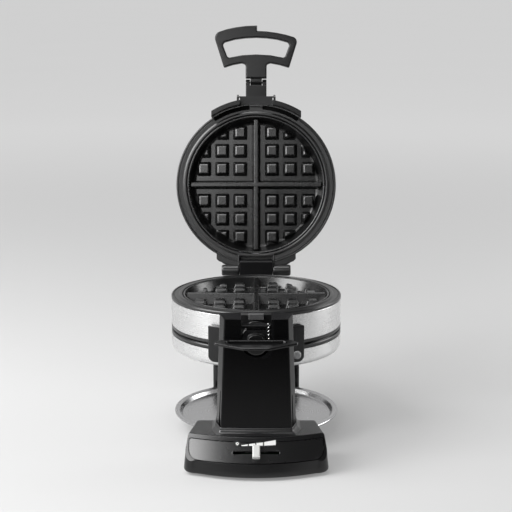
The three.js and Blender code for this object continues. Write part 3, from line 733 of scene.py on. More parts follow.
def lid_shell_object(name, xf, node, body, mat):
    z0, z1 = LZ + RIM_H + 1.3, LZ + LID_T
    outer = fillet([(R_HEAD - 0.15, z0), (R_HEAD - 0.15, z1), (0, z1)], [0, 8.0, 0], 14, closed=False)
    t = 1.1
    inner = fillet([(R_HEAD - 0.15 - t, z0), (R_HEAD - 0.15 - t, z1 - t), (0, z1 - t)], [0, 6.9, 0], 14, closed=False)
    # a shallow pressed step in the flat of the shell
    press = [(r, z) for r, z in fillet([(R_HEAD - 9.0, z1), (78.0, z1), (76.4, z1 - 0.7), (0, z1 - 0.7)], [0, 1.2, 1.2, 0], 4, closed=False)][1:]
    prof = outer[:-1] + press + inner[::-1]
    inner_flat = z1 - 0.7 - t
    prof = [(r, min(z, inner_flat) if i >= len(outer) - 1 + len(press) and r < 76.0 else z) for i, (r, z) in enumerate(prof)]
    o = obj_of(name, lathe(prof, 224), xf)
    boolean(o, brick(-22.0, 22.0, 88.9, 140, -30, 60, 1.6, 0.3), "DIFFERENCE", xf)
    return finish(o, mat, body, node, slot="brushed_shell")


lid_ring_object("ring_upper_lid", LID, "upper_lid_ring", "upper_lid", True)
lid_ring_object("ring_lower_lid", FLIP, "lower_lid_ring", "lower_lid")
lid_shell_object("shell_upper_lid", LID, "upper_lid_shell", "upper_lid", M_LIDSHELL)
lid_shell_object("shell_lower_lid", FLIP, "lower_lid_shell", "lower_lid", M_SHELL)


# ------------------------------------------------------- lower lid's bracket
low = obj_of("bracket_lower", slab(arc_plate(R_HEAD + 0.6, R_HEAD + 5.8, -31, 31, 48), -60.2, -17.4, 1.2, 1.2))
corner = []
for s in (-1, 1):                       # rounded lower corners of the two cheeks
    q = [(s * 60, -66), (s * 60, -47.1)] + [(s * (47.0 + 8.8 * math.cos(t)), -51.6 + 8.8 * math.sin(-t)) for t in (math.pi / 2 * k / 8 for k in range(9))] + [(s * 30, -60.4), (s * 30, -66)]
    corner.append(xz(slab(q, -115, -85)))
corner.append(brick(-20.9, 20.9, -130, -95, -40.5, -9, 2.0, 0.3))
corner.append(rod_y(5.15, -120, -80, 46.9, -51.3, 0.1))
boolean(low, corner)
bevel(low, 0.5, 2, 40)
finish(low, M_HANDLE, "lower_lid", "lower_bracket", slot="handle_black")
lens_y = -math.sqrt((R_HEAD + 5.8) ** 2 - 46.9 ** 2)
finish(obj_of("lens_ready", rod_y(4.85, lens_y - 2.2, lens_y + 3.2, 46.9, -51.3, 1.7, 48)), M_LENS, "lower_lid", "ready_lens", slot="lens_grey")

# ------------------------------------------------------- upper lid's bracket
up = obj_of("bracket_upper", slab(arc_plate(R_HEAD + 0.6, R_HEAD + 7.2, -34.5, 34.5, 56), LZ - 15, LZ + 16.8, 1.3, 1.3), LID)
boolean(up, [brick(s * 57.2 if s > 0 else -90, 90 if s > 0 else -57.2, -120, -60, -40, 40, 0.5, 0.1) for s in (-1, 1)], "DIFFERENCE", LID)
bevel(up, 0.9, 3, 50)
add = [
    brick(-20.9, 20.9, -113.4, -100.5, LZ - 10.0, LZ + 18.6, 1.0, 1.0),
    slab(fillet([(-13.4, -128.4), (13.4, -128.4), (13.4, -107), (-13.4, -107)], [0.5, 0.5, 0, 0], 5), LZ + 13, LZ + 22.3, 1.2, 1.2),
]
for s in (-1, 1):
    add.append(yz(slab(fillet([(-106, LZ - 9.5), (-106, LZ + 15), (-115.9, LZ + 15), (-116.2, LZ + 12.5), (-111.5, LZ - 9.5)], [0, 0.5, 1.2, 2.0, 0.5], 4), min(s * 22.2, s * 24.8), max(s * 22.2, s * 24.8), 0.5, 0.5)))
    add.append(brick(min(s * 18, s * 24.0), max(s * 18, s * 24.0), -113.5, -112.1, LZ + 2, LZ + 14, 0.4, 0.4))
    x0, x1 = sorted((s * 8.0, s * 13.4))
    add.append(rod_x(4.0, x0, x1, FOLD_Y, FOLD_H, 0.5, 40))
    add.append(brick(x0, x1, FOLD_Y + 0.2, FOLD_Y + 7.0, LZ + 15, FOLD_H + 1.4, 0.6, 0.6))
boolean(up, add, "UNION", LID)
boolean(up, [rod_x(1.8, -40, 40, FOLD_Y, FOLD_H, 0.1, 24), brick(-20.95, 20.95, -130, -90, -40, 2.2, 0.5, 0.2),
             lathe([(0, -60), (R_HEAD + 0.6, -60), (R_HEAD + 0.6, LZ + 19.5), (0, LZ + 19.5)], 160, closed=False)], "DIFFERENCE", LID)
finish(up, M_BRACKET, "upper_lid", "upper_bracket", slot="handle_black")
# painted shadow: a thin near-black strip in the hollow under the catch's skirt, standing for the skirt's shadow on the
# ring
shade_liner = merge(*[slab(arc_plate(96.75, 102.2, a0, a1, 24), LZ + 3.3, LZ + 4.1, 0.1, 0.1) for a0, a1 in ((-32.8, -4.8), (4.8, 32.8))])
finish(obj_of("painted_shadow_strip", shade_liner, LID), M_SHADE_LINER, "upper_lid", slot="rim_black")
finish(obj_of("pin_handle", rod_x(1.5, -13.6, 13.6, FOLD_Y, FOLD_H, 0.3, 24), LID), M_PIN, "upper_lid", "handle_pin", slot="pin_steel")

# -------------------------------------------------------------- loop handle
D = lambda pts: [(x, -d) for x, d in pts]
outline = fillet(D([(-13.6, 137.5), (-13.6, 155.4), (-18.5, 157.0), (-30, 154.9), (-41.6, 151.2), (-55.4, 195.0), (-38, 200.8), (-26, 203.3), (-13, 205.0), (1.3, 205.5),
                    (1.3, 198.6), (13, 198.0), (26, 196.3), (38, 193.8), (54.4, 189.0), (42.6, 151.2), (30, 154.9), (18.5, 157.0), (13.6, 155.4), (13.6, 137.5)]),
                 [0.8, 3.0, 4.5, 0, 1.6, 8.5, 0, 0, 0, 0.6, 0.6, 0, 0, 0, 7.0, 1.6, 0, 4.5, 3.0, 0.8], 7)
hole = fillet(D([(-36.6, 163.9), (-18, 167.4), (0, 168.4), (18, 167.4), (36.6, 163.9), (43.8, 183.0), (27, 187.6), (14, 189.3), (0, 190), (-14, 189.3), (-27, 187.6), (-43.8, 183.0)]),
              [3.4, 0, 0, 0, 3.4, 4.2, 0, 0, 0, 0, 0, 4.2], 7)
HZ0, HZ1 = LZ + 13, LZ + 22.4
handle = obj_of("handle_loop", slab(outline, HZ0, HZ1, 1.9, 1.9, [hole], 5), LID)
boolean(handle, [brick(-7.4, 7.4, -140, FOLD_Y + 0.1, HZ0 + 4.5, FOLD_H + 2.6, 0.6, 0.8), rod_x(4.0, -7.4, 7.4, FOLD_Y, FOLD_H, 0.6, 40)], "UNION", LID)
boolean(handle, rod_x(1.8, -40, 40, FOLD_Y, FOLD_H, 0.1, 24), "DIFFERENCE", LID)
finish(handle, M_HANDLE, "loop_handle", "loop_handle", slot="handle_black")

# --------------------------------------------------- axle, grip, hinge, pins
ax = obj_of("axle_shaft", rod_y(AXLE_R, -155.4, -106, 0, AXIS_Z, 0.8, 64))
flange = slab(arc_plate(R_HEAD + 0.2, R_HEAD + 3.6, -10.7, 10.7, 16), AXIS_Z - 15, AXIS_Z + 19.2, 0.8, 0.8)
end_block = xz(slab(round_rect(-9.5, 9.5, AXIS_Z - 9.5, AXIS_Z + 9.5, 4.6, 6), -155.4, -150.2, 0.6, 0.4))
boolean(ax, [flange, rod_y(13.2, -110.5, -104.5, 0, AXIS_Z, 1.2, 56), end_block], "UNION")
finish(ax, M_RIM, "head", "axle", slot="rim_black")
keeper = obj_of("keeper_latch", brick(-8.6, 8.6, -111.5, -106.6, -6.4, 0.8, 0.8, 0.8))
finish(keeper, M_KEEPER, "head", "latch_keeper", slot="housing_black")

wing = fillet([(-39.0, -162), (-46.3, -166.3), (-45.0, -169.2), (-14, -180.2), (14, -180.2), (45.0, -169.2), (46.3, -166.3), (39.0, -162)], [0.8, 1.6, 2.0, 9.0, 9.0, 2.0, 1.6, 0.8], 8)


def tilted(part, top):
    """the shelf falls towards its front edge"""
    v, f = part
    return [(x, y, q + top + 0.27 * (y + 162)) for x, y, q in v], f


grip = obj_of("grip_flip", tilted(slab(wing, -3.2, 0.0, 1.1, 0.9, seg=4), -15.6))
dish = fillet([(-33.5, -164.6), (33.5, -164.6), (34.5, -168.2), (13.2, -177.2), (-13.2, -177.2), (-34.5, -168.2)], [2.2, 2.2, 2.0, 7.4, 7.4, 2.0], 7)
boolean(grip, tilted(slab(dish, -2.2, 3.0, 0.9, 0), -15.6))
rim_back = tilted(slab(fillet([(-30.5, -164.6), (-33.4, -166.9), (-32.2, -168.2), (-29.6, -166.0), (29.6, -166.0), (32.2, -168.2), (33.4, -166.9), (30.5, -164.6)], [1.5, 0.5, 0.5, 1.0, 1.0, 0.5, 0.5, 1.5], 5), -2.8, 0.9, 0, 0.6, seg=4), -15.6)
hub = [rod_y(12.0, -164.4, -157.6, 0, AXIS_Z - 0.7, 1.5, 80), rod_y(AXLE_R + 0.4, -163, -155.9, 0, AXIS_Z, 0.5, 56),
       brick(-20, 20, -170.5, -162.3, AXIS_Z - 1.9, AXIS_Z + 0.9, 3.0, 1.0)]
top_off = obj_of("hub", hub[0])
boolean(top_off, brick(-30, 30, -175, -150, AXIS_Z + 1.5, AXIS_Z + 40, 0.5, 0.1))
boolean(top_off, hub[1:], "UNION")
boolean(grip, rim_back, "UNION")
m = grip.modifiers.new("hub", "BOOLEAN")
m.operation, m.solver, m.object = "UNION", "EXACT", top_off
bake_mods(grip)
me_old = top_off.data
bpy.data.objects.remove(top_off)
bpy.data.meshes.remove(me_old)
finish(grip, M_GRIP, "head", "flip_grip", slot="handle_black")

hinge_prof = fillet([(103.6, AXIS_Z - 37), (118, AXIS_Z - 37), (118, AXIS_Z + 37), (103.6, AXIS_Z + 37)], [2.4, 4.5, 4.5, 2.4], 7)
hinge = obj_of("block_hinge", yz(slab(hinge_prof, -21.15, 21.15, 0.9, 0.9)))
boolean(hinge, [rod_x(2.6, -60, 60, HINGE_Y, HINGE_Z, 0.1, 32), rod_x(2.6, -60, 60, HINGE_Y, 2 * AXIS_Z - HINGE_Z, 0.1, 32),
                brick(-14, 14, 116.8, 130, AXIS_Z - 26, AXIS_Z + 26, 2.5, 0.2)])
boolean(hinge, [brick(-1.2, 1.2, 114.5, 117.9, AXIS_Z - 27, AXIS_Z + 27, 0.5, 0.3), brick(-15, 15, 114.5, 117.9, AXIS_Z - 1.2, AXIS_Z + 1.2, 0.5, 0.3)], "UNION")
finish(hinge, M_HINGE, "head", "hinge_block", slot="housing_black")
for nm, node, hz in (("pin_hinge_upper", "hinge_pin_upper", HINGE_Z), ("pin_hinge_lower", "hinge_pin_lower", 2 * AXIS_Z - HINGE_Z)):
    finish(obj_of(nm, rod_x(2.3, -43.4, 43.4, HINGE_Y, hz, 0.6, 32)), M_PIN, "head", node, slot="pin_steel")


# ------------------------------------------------------------ base housing
def base_plan(hw, hwb, yc, bow, yb, rf, d=0.0, n=32, nf=9, nb=5):
    """plan outline with equal counts: front bow, front corners, sides, back corners; d moves it inwards"""
    hw, hwb, yc, yb, rf = hw - d, hwb - d, yc + d, yb - d, max(1.0, rf - d)
    pts = []
    for i in range(n + 1):
        u = -1 + 2 * i / n
        pts.append((u * (hw - rf), yc - bow * (1 - u * u)))
    for i in range(1, nf + 1):
        t = math.radians(-90 + 90 * i / nf)
        pts.append((hw - rf + rf * math.cos(t), yc + rf + rf * math.sin(t)))
    rb = max(0.6, 3.0 - d)
    for i in range(nb + 1):
        t = math.radians(90 * i / nb)
        pts.append((hwb - rb + rb * math.cos(t), yb - rb + rb * math.sin(t)))
    for i in range(nb + 1):
        t = math.radians(90 + 90 * i / nb)
        pts.append((-hwb + rb + rb * math.cos(t), yb - rb + rb * math.sin(t)))
    for i in range(nf):
        t = math.radians(180 + 90 * i / nf)
        pts.append((-hw + rf + rf * math.cos(t), yc + rf + rf * math.sin(t)))
    return pts


CREASE = -149.5
PROUD = 0.3                               # how far the fascia stands out of the sloping face
A_BOT = (81.0, 72.5, -179.0, 15.4, -107.0, 14)
A_CRE = (79.6, 71.0, -176.9, 15.0, -108.0, 11)
A_WALL = (77.6, 68.6, -174.0, 14.8, -110.4, 9)
A_TOP = (77.0, 67.9, -159.0, 14.3, -110.6, 6)
P_BOT = base_plan(*A_BOT)


def flat_ring(plan, z):
    return [(x, y, z) for x, y in plan]


def wall_ring(z, d=0.0):
    """the outer wall's plan at height z"""
    keys = [(B_BOT + 3.4, A_BOT), (CREASE, A_CRE), (BASE_TOP, A_WALL)]
    for (z0, a), (z1, b) in zip(keys, keys[1:]):
        if z <= z1 or z1 == BASE_TOP:
            t = max(0.0, min(1.0, (z - z0) / (z1 - z0)))
            return flat_ring(base_plan(*[p + (q - p) * t for p, q in zip(a, b)], d=d), z)


rings = [flat_ring(base_plan(*A_BOT, d=2.6), B_BOT), flat_ring(base_plan(*A_BOT, d=1.5), B_BOT + 0.25), flat_ring(base_plan(*A_BOT, d=0.7), B_BOT + 1.0), flat_ring(base_plan(*A_BOT, d=0.15), B_BOT + 2.1)]
rings += [wall_ring(B_BOT + 3.4 + (CREASE - B_BOT - 3.4) * t) for t in (0, 0.33, 0.66, 1.0)] + [wall_ring(CREASE + (BASE_TOP - 2.2 - CREASE) * t) for t in (0.25, 0.5, 0.75, 1.0)]
for k in range(1, 7):
    t = math.pi / 2 * k / 6
    rings.append(wall_ring(BASE_TOP - 2.2 + 2.2 * math.sin(t), 2.2 * (1 - math.cos(t))))
housing = obj_of("housing_base", loft(rings))


def panel_row(x, plan):
    hw, yc, bow = plan
    u = x / hw
    return yc - bow * (1 - u * u)


LOW, HIGH = (69.6, -176.6, 15.0), (71.0, -159.0, 14.3)
PANEL_H = BASE_TOP - 1.9 - CREASE


def panel_section(x):
    """side view of the sloping panel at x: up the slope, round into the top"""
    y0, y1 = panel_row(x, LOW), panel_row(x, HIGH)
    a = math.atan2(PANEL_H, y1 - y0)
    uy, uz = math.cos(a), math.sin(a)
    r = 2.4
    zt = BASE_TOP + 0.02
    rise = r * (math.cos(math.radians(7)) - math.cos(a))
    s1 = (zt - rise - CREASE) / uz
    ya, za = y0 + uy * s1, CREASE + uz * s1
    cy, cz = ya + r * math.sin(a), za - r * math.cos(a)
    pts = [(y0 - uy * 16, CREASE - uz * 16), (y0, CREASE), (ya, za)]
    for k in range(1, 7):
        b = a + (math.radians(7) - a) * k / 6
        pts.append((cy - r * math.sin(b), cz + r * math.cos(b)))
    yl, zl = pts[-1]
    pts.append((yl + 40, zl + 40 * math.tan(math.radians(7))))
    pts.append((yl + 40, BASE_TOP + 20))
    pts.append((y0 - uy * 16, BASE_TOP + 20))
    return pts


cutter = loft([[(x, y, z) for y, z in panel_section(x)] for x in np.linspace(-88, 88, 73)])
sloped = obj_of("sloped", cutter)


def boolean_with(o, other, op="DIFFERENCE"):
    m = o.modifiers.new("with", "BOOLEAN")
    m.operation, m.solver, m.object = op, "EXACT", other
    bake_mods(o)
    me = other.data
    bpy.data.objects.remove(other)
    bpy.data.meshes.remove(me)
    return o


boolean_with(housing, sloped)
inner = loft([flat_ring(base_plan(*A_BOT, d=5.0), B_BOT - 2), flat_ring(base_plan(*A_CRE, d=6.4), CREASE), flat_ring(base_plan(*A_TOP, d=6.4), BASE_TOP - 3.0)])
deck_o = slab(round_rect(-60, 60, -116, 112, 14, 8), B_BOT, DECK_TOP, 0.8, 1.6)
deck_i = slab(round_rect(-57.4, 57.4, -113, 109.4, 11, 6), B_BOT - 1, DECK_TOP - 2.6)
boolean(housing, deck_o, "UNION")


def panel_point(x, s, off=0.0):
    """a point on the sloping panel: s is 0 at the crease and 1 near the top edge; off stands proud of it"""
    y0, y1 = panel_row(x, LOW), panel_row(x, HIGH)
    nx = 2 * x * (LOW[2] / LOW[0] ** 2 + (HIGH[2] / HIGH[0] ** 2 - LOW[2] / LOW[0] ** 2) * s)
    nrm = Vector((nx, -1, 0)).normalized() * PANEL_H + Vector((0, 0, y1 - y0))
    return Vector((x, y0 + (y1 - y0) * s, CREASE + PANEL_H * s)) + nrm.normalized() * off


def on_panel(poly, off0, off1):
    """a flat outline in (x, s) laid on the panel, from off0 to off1 above it"""
    if area2(poly) < 0:
        poly = poly[::-1]
    return loft([[tuple(panel_point(x, s, o)) for x, s in poly] for o in (off0, off1)])


def panel_sheet(name, low, high, outline_):
    """a curved plate along the sloping panel, cut to an outline drawn in (x, z)"""
    rows = []
    for x in np.linspace(-82, 82, 83):
        rows.append([tuple(panel_point(x, q, o)) for q, o in ((-0.12, low), (-0.12, high), (0.3, high), (0.7, high), (1.12, high), (1.12, low))])
    o = obj_of(name, loft(rows))
    return boolean(o, xz(slab(outline_, -240, -90)), "INTERSECT")


FASCIA = fillet([(-74.7, -129.8), (-75.1, CREASE + 0.95), (75.1, CREASE + 0.95), (74.7, -129.8)], [2.6, 10.3, 10.3, 2.6], 8)
POCKET = fillet([(-75.5, -129.1), (-75.9, CREASE + 0.1), (75.9, CREASE + 0.1), (75.5, -129.1)], [3.2, 11.1, 11.1, 3.2], 8)
boolean_with(housing, panel_sheet("pocket", -1.5, 5.0, POCKET))
fascia = panel_sheet("fascia_panel", -2.4, PROUD, FASCIA)
bevel(fascia, 0.5, 3, 50)

S_MM = 1 / math.hypot(17.8, 23.1)        # share of the panel for one millimetre along it
SLOT_S, SLOT_HW, SLOT_H = 0.437, 25.8, 1.85
slot_out = [(x, SLOT_S + y * S_MM) for x, y in round_rect(-SLOT_HW, SLOT_HW, -SLOT_H, SLOT_H, 1.5, 4)]
slot_cut = loft([[tuple(panel_point(x, s, o)) for x, s in slot_out] for o in (-9.0, 4.0)])
boolean(housing, [inner, deck_i, slot_cut], "DIFFERENCE")
boolean(fascia, slot_cut)
finish(fascia, M_FASCIA, "stand", slot="housing_black", angle=25)
finish(housing, M_HOUSING, "stand", "base_housing", slot="housing_black", angle=25)
# lip round the slot
ring_o = [(x, SLOT_S + y * S_MM) for x, y in round_rect(-SLOT_HW - 1.0, SLOT_HW + 1.0, -SLOT_H - 1.0, SLOT_H + 1.0, 2.3, 5)]
ring_i = [(x, SLOT_S + y * S_MM) for x, y in round_rect(-SLOT_HW - 0.05, SLOT_HW + 0.05, -SLOT_H - 0.05, SLOT_H + 0.05, 1.5, 5)]
nn = len(ring_o)
lip_rings = []
for o, k in ((-0.4, 0.0), (0.12, 0.0), (0.26, 0.25), (0.26, 0.75), (0.1, 1.0), (-0.4, 1.0)):
    lip_rings.append([tuple(panel_point(ring_o[i][0] + (ring_i[i][0] - ring_o[i][0]) * k, ring_o[i][1] + (ring_i[i][1] - ring_o[i][1]) * k, o + PROUD)) for i in range(nn)])
finish(obj_of("lip_slot", loft(lip_rings, closed=True)), M_HOUSING, "stand", slot="housing_black")


def strip(points):
    return [(x, SLOT_S + y * S_MM) for x, y in points]


marks = []
for x0, x1, lo0, lo1, hi0, hi1 in ((-16.4, -9.4, 8.5, 8.6, 9.3, 10.6), (-8.1, -1.0, 8.7, 8.8, 11.0, 11.8), (0.3, 7.4, 8.9, 9.0, 12.1, 12.9), (8.8, 21.6, 9.1, 9.3, 13.1, 15.3)):
    marks.append(on_panel(strip(fillet([(x0, lo0), (x1, lo1), (x1, hi1), (x0, hi0)], 0.25, 3)), -0.25, PROUD + 0.14))
c = (-20.9, 11.0)
dia_o = fillet([(c[0] - 2.1, c[1]), (c[0], c[1] - 2.3), (c[0] + 2.1, c[1]), (c[0], c[1] + 2.3)], 0.5, 3)
dia_i = fillet([(c[0] - 0.9, c[1]), (c[0], c[1] - 1.0), (c[0] + 0.9, c[1]), (c[0], c[1] + 1.0)], 0.3, 3)
dk = []
for o in (-0.25, PROUD + 0.14):
    dk.append([tuple(panel_point(x, s, o)) for x, s in strip(dia_o)])
for o in (PROUD + 0.14, -0.25):
    dk.append([tuple(panel_point(x, s, o)) for x, s in strip(dia_i)])
marks.append(loft(dk, closed=True))
finish(obj_of("marks_panel", merge(*marks)), M_PRINT, "stand", slot="slider_white")

# browning slider: a knob in front of the slot with a stem through it; the grooves made below are not added to it
kn = []
kz = -0.2
prof_k = fillet([(-4.2, -7.0), (4.2, -7.0), (4.2, 8.2), (-4.2, 8.2)], [1.3] * 4, 5)
base_pt = panel_point(0, SLOT_S, 0)
nrm = (panel_point(0, SLOT_S, 1) - base_pt).normalized()
upv = (panel_point(0, SLOT_S + 0.1, 0) - base_pt).normalized()
KN = Matrix((( 1, upv.x * 0, 0, base_pt.x), (0, upv.y, nrm.y, base_pt.y), (0, upv.z, nrm.z, base_pt.z), (0, 0, 0, 1)))
KNOB = BASE @ KN
ko = obj_of("knob_slider", slab(prof_k, 0.75, 7.2, 0.5, 1.5, seg=4), KNOB)
boolean(ko, [slab(round_rect(-1.5, 1.5, -0.9, 0.9, 0.4, 3), -8.0, 1.4, 0.2, 0)], "UNION", KNOB)
grooves = [rod_x(1.1, -8, 8, 4.6 - 2.6 * k, 7.9, 0.1, 20) for k in range(1)]
finish(ko, M_WHITE, "browning_slider", "browning_slider", slot="slider_white")

# under the base
cover_plan = [(p[0] * 0.955, -143 + (p[1] + 143) * 0.90) for p in P_BOT]
cov = obj_of("cover_base_front", slab(cover_plan, B_BOT + 0.1, B_BOT + 2.1, 0.4, 0.3))
boolean(cov, [slab(round_rect(x0, x0 + 26, y0, y0 + 2.2, 1.0, 4), B_BOT - 2, B_BOT + 5) for x0 in (-13,) for y0 in (-172, -167, -162, -157, -152)])
finish(cov, M_HOUSING, "stand", "base_cover_front", slot="housing_black")
cov = obj_of("cover_base_rear", slab(round_rect(-57.0, 57.0, -105.4, 109.0, 11, 6), B_BOT + 0.1, B_BOT + 2.1, 0.4, 0.3))
boolean(cov, [slab(round_rect(-20, 20, y0, y0 + 2.2, 1.0, 4), B_BOT - 2, B_BOT + 5) for y0 in (-24, -18, -12, -6, 0, 6)]
        + [rod(3.0, B_BOT - 2, B_BOT + 1.2, x, y, 0.3, 24) for x in (-46, 46) for y in (-90, 0)])
finish(cov, M_HOUSING, "stand", "base_cover_rear", slot="housing_black")
for nm, x, y in (("foot_front_left", -58, -160), ("foot_front_right", 58, -160), ("foot_rear_left", -44, 94), ("foot_rear_right", 44, 94)):
    fp = fillet([(0, FLOOR_Z), (8.0, FLOOR_Z), (8.5, B_BOT - 0.25), (0, B_BOT - 0.25)], [0, 0.7, 0.3, 0], 4, closed=True)
    v, f = lathe(fp[:1] + fp[1:], 48, closed=False)
    part = ([(a + x, b + y, q) for a, b, q in v], f)
    finish(obj_of("pad_" + nm, part), M_RUBBER, "stand", nm, slot="foot_rubber")


# ------------------------------------------------------------------- column
def col_plan(hw, yf, yb, rf=6.0, d=0.0, nf=24, nc=8):
    hw, yf, yb, rf = hw - d, yf + d, yb - d, max(0.6, rf - d)
    pts = []
    for i in range(nf + 1):
        u = -1 + 2 * i / nf
        pts.append((u * (hw - rf), yf - 1.2 * (1 - u * u)))
    for i in range(1, nc + 1):
        t = math.radians(-90 + 90 * i / nc)
        pts.append((hw - rf + rf * math.cos(t), yf + rf + rf * math.sin(t)))
    rb = max(0.4, 2.2 - d)
    for i in range(5):
        t = math.radians(90 * i / 4)
        pts.append((hw - rb + rb * math.cos(t), yb - rb + rb * math.sin(t)))
    for i in range(5):
        t = math.radians(90 + 90 * i / 4)
        pts.append((-hw + rb + rb * math.cos(t), yb - rb + rb * math.sin(t)))
    for i in range(nc):
        t = math.radians(180 + 90 * i / nc)
        pts.append((-hw + rf + rf * math.cos(t), yf + rf + rf * math.sin(t)))
    return pts


def post_plan(hw, yf, yb, o=0.0, nf=24):
    """the column's plan: a narrower front, cheeks that widen towards the back"""
    deep = min(20.0, yb - yf - 3.4)
    a = hw - 5.4
    pts = [(a * (-1 + 2 * i / nf), yf - 1.2 * (1 - (-1 + 2 * i / nf) ** 2)) for i in range(nf + 1)]
    pts += [(hw, yf + deep), (hw, yb), (-hw, yb), (-hw, yf + deep)]
    radii = [3.4 + o] + [0.0] * (nf - 1) + [3.4 + o, 5.0, 2.2, 2.2, 5.0]
    counts = [6] + [0] * (nf - 1) + [6, 3, 4, 4, 3]
    return fillet(pts, radii, 6, True, counts)


def hw_at(zz):
    return COL_HW_TOP + (COL_HW_BOT - COL_HW_TOP) * (COL_TOP - zz) / (COL_TOP - BASE_TOP)


def yf_at(zz):
    return COL_F_TOP + (COL_F_BOT - COL_F_TOP) * (COL_TOP - zz) / (COL_TOP - BASE_TOP)


def yb_at(zz):
    k = max(0.0, min(1.0, (-76 - zz) / (-76 + 120.2)))
    return COL_B_TOP + (-115.5 - COL_B_TOP) * k


CB = BASE_TOP + 0.2
rings = []
for k in range(0, 9, 8):
    t = math.pi / 2 * k / 8
    rf = 5.4
    zz = CB + rf * (1 - math.cos(t))
    o = rf * (1 - math.sin(t))
    plan = post_plan(hw_at(zz), yf_at(zz), yb_at(zz))
    rings.append([(x, y, zz) for x, y in plan])
for zz in (-112, -104, -92, -84, -76, -68, -55, -40, -25, -10, 0):
    rings.append([(x, y, zz) for x, y in post_plan(hw_at(zz), yf_at(zz), yb_at(zz))])
rings.append([(x, y, COL_TOP) for x, y in post_plan(hw_at(COL_TOP), yf_at(COL_TOP), COL_B_TOP)])
colo = obj_of("column_fork", loft(rings))
# the posts' tops fall towards the front and, a little, towards the sides
wedge = []
for y, z in ((-170, COL_TOP - 7.2), (-155, COL_TOP - 3.9), (-139.5, COL_TOP - 0.25), (-130, COL_TOP - 0.2)):
    wedge.append([(-60, y, z - 1.3), (-36, y, z), (36, y, z), (60, y, z - 1.3), (60, y, 30), (-60, y, 30)])
boolean(colo, loft(wedge))
notch_cut = xz(slab(fillet([(-NOTCH_HW, 30), (-NOTCH_HW, AXIS_Z)] + [(NOTCH_HW * math.cos(t), AXIS_Z + NOTCH_HW * math.sin(t)) for t in (math.pi + math.pi * k / 40 for k in range(1, 40))] + [(NOTCH_HW, AXIS_Z), (NOTCH_HW, 30)], 0), -175, -125))
boolean(colo, notch_cut)
bevel(colo, 2.1, 5, 40)
hollow = loft([[(x, y, CB - 1) for x, y in col_plan(42.4, -154.6, -117.4, 5)], [(x, y, -78) for x, y in col_plan(40.4, yf_at(-78) + 2.6, COL_B_TOP - 2.4, 5)], [(x, y, -46) for x, y in col_plan(38.8, yf_at(-46) + 2.6, COL_B_TOP - 2.4, 5)]])
boolean(colo, hollow)
finish(colo, M_COLUMN, "stand", "column", slot="housing_black", angle=30)


def collar_plan(o, z):
    """plan of the column's foot at height z, o outside its wall"""
    return [(x, y, z) for x, y in post_plan(hw_at(z) + o * 0.75, yf_at(z) - o, yb_at(z) + o * 0.3, 0.6 * o)]


cr = [collar_plan(0.0, CB - 1.0), collar_plan(6.6, CB - 1.0), collar_plan(6.6, CB + 0.1)]
for k in range(1, 11):                    # concave flare
    t = math.pi / 2 * k / 10
    cr.append(collar_plan(1.3 + 5.0 * (1 - math.sin(t)), CB + 0.35 + 5.2 * (1 - math.cos(t))))
cr += [collar_plan(1.15, CB + 6.2), collar_plan(0.8, CB + 6.5), collar_plan(0.5, CB + 6.25), collar_plan(0.35, CB + 4.6), collar_plan(0.0, CB + 4.4)]
finish(obj_of("collar_column", loft(cr, closed=True)), M_COLLAR, "stand", slot="housing_black", angle=40)

bush = obj_of("bush_axle", rod_y(NOTCH_HW - 0.3, -149, -139, 0, AXIS_Z, 0.7, 72))
boolean(bush, [rod_y(AXLE_R + 0.25, -160, -130, 0, AXIS_Z, 0.1, 64), brick(-30, 30, -160, -130, AXIS_Z + 12.6, 20, 0.5, 0.1)])
bevel(bush, 0.4, 2, 50)
finish(bush, M_HINGE, "stand", "axle_bush", slot="rim_black")
cap = obj_of("cap_bearing", brick(-NOTCH_HW + 0.3, NOTCH_HW - 0.3, -151.2, -140, AXIS_Z + 16.6, AXIS_Z + 18.2, 0.8, 0.6))
boolean(cap, [brick(-NOTCH_HW + 0.3, NOTCH_HW - 0.3, -146.0, -140, AXIS_Z + 13.0, AXIS_Z + 17.4, 0.8, 0.6)], "UNION")
finish(cap, M_HINGE, "stand", "bearing_cap", slot="housing_black")


def coil(r_wire, r_coil, z0, z1, turns, steps=20, sides=10):
    n = int(turns * steps)
    pts, rings_ = [], []
    for i in range(n + 1):
        a = 2 * math.pi * i / steps
        pts.append(Vector((r_coil * math.cos(a), r_coil * math.sin(a), z0 + (z1 - z0) * i / n)))
    for i, p in enumerate(pts):
        d = (pts[min(i + 1, n)] - pts[max(i - 1, 0)]).normalized()
        side = Vector((p.x, p.y, 0)).normalized()
        upw = d.cross(side)
        rings_.append([tuple(p + side * r_wire * math.cos(2 * math.pi * k / sides) + upw * r_wire * math.sin(2 * math.pi * k / sides)) for k in range(sides)])
    return loft(rings_)


spr = coil(0.55, 1.05, -19.6, 0.6, 4.75)
finish(obj_of("spring_detent", ([(x + 13.7, y - 153.0, q) for x, y, q in spr[0]], spr[1])), M_PIN, "stand", "detent_spring", slot="pin_steel", weight=False)
finish(obj_of("stem_spring", rod(0.42, -31.2, 1.6, 13.7, -153.0, 0.2, 20)), M_HOUSING, "stand", slot="housing_black")

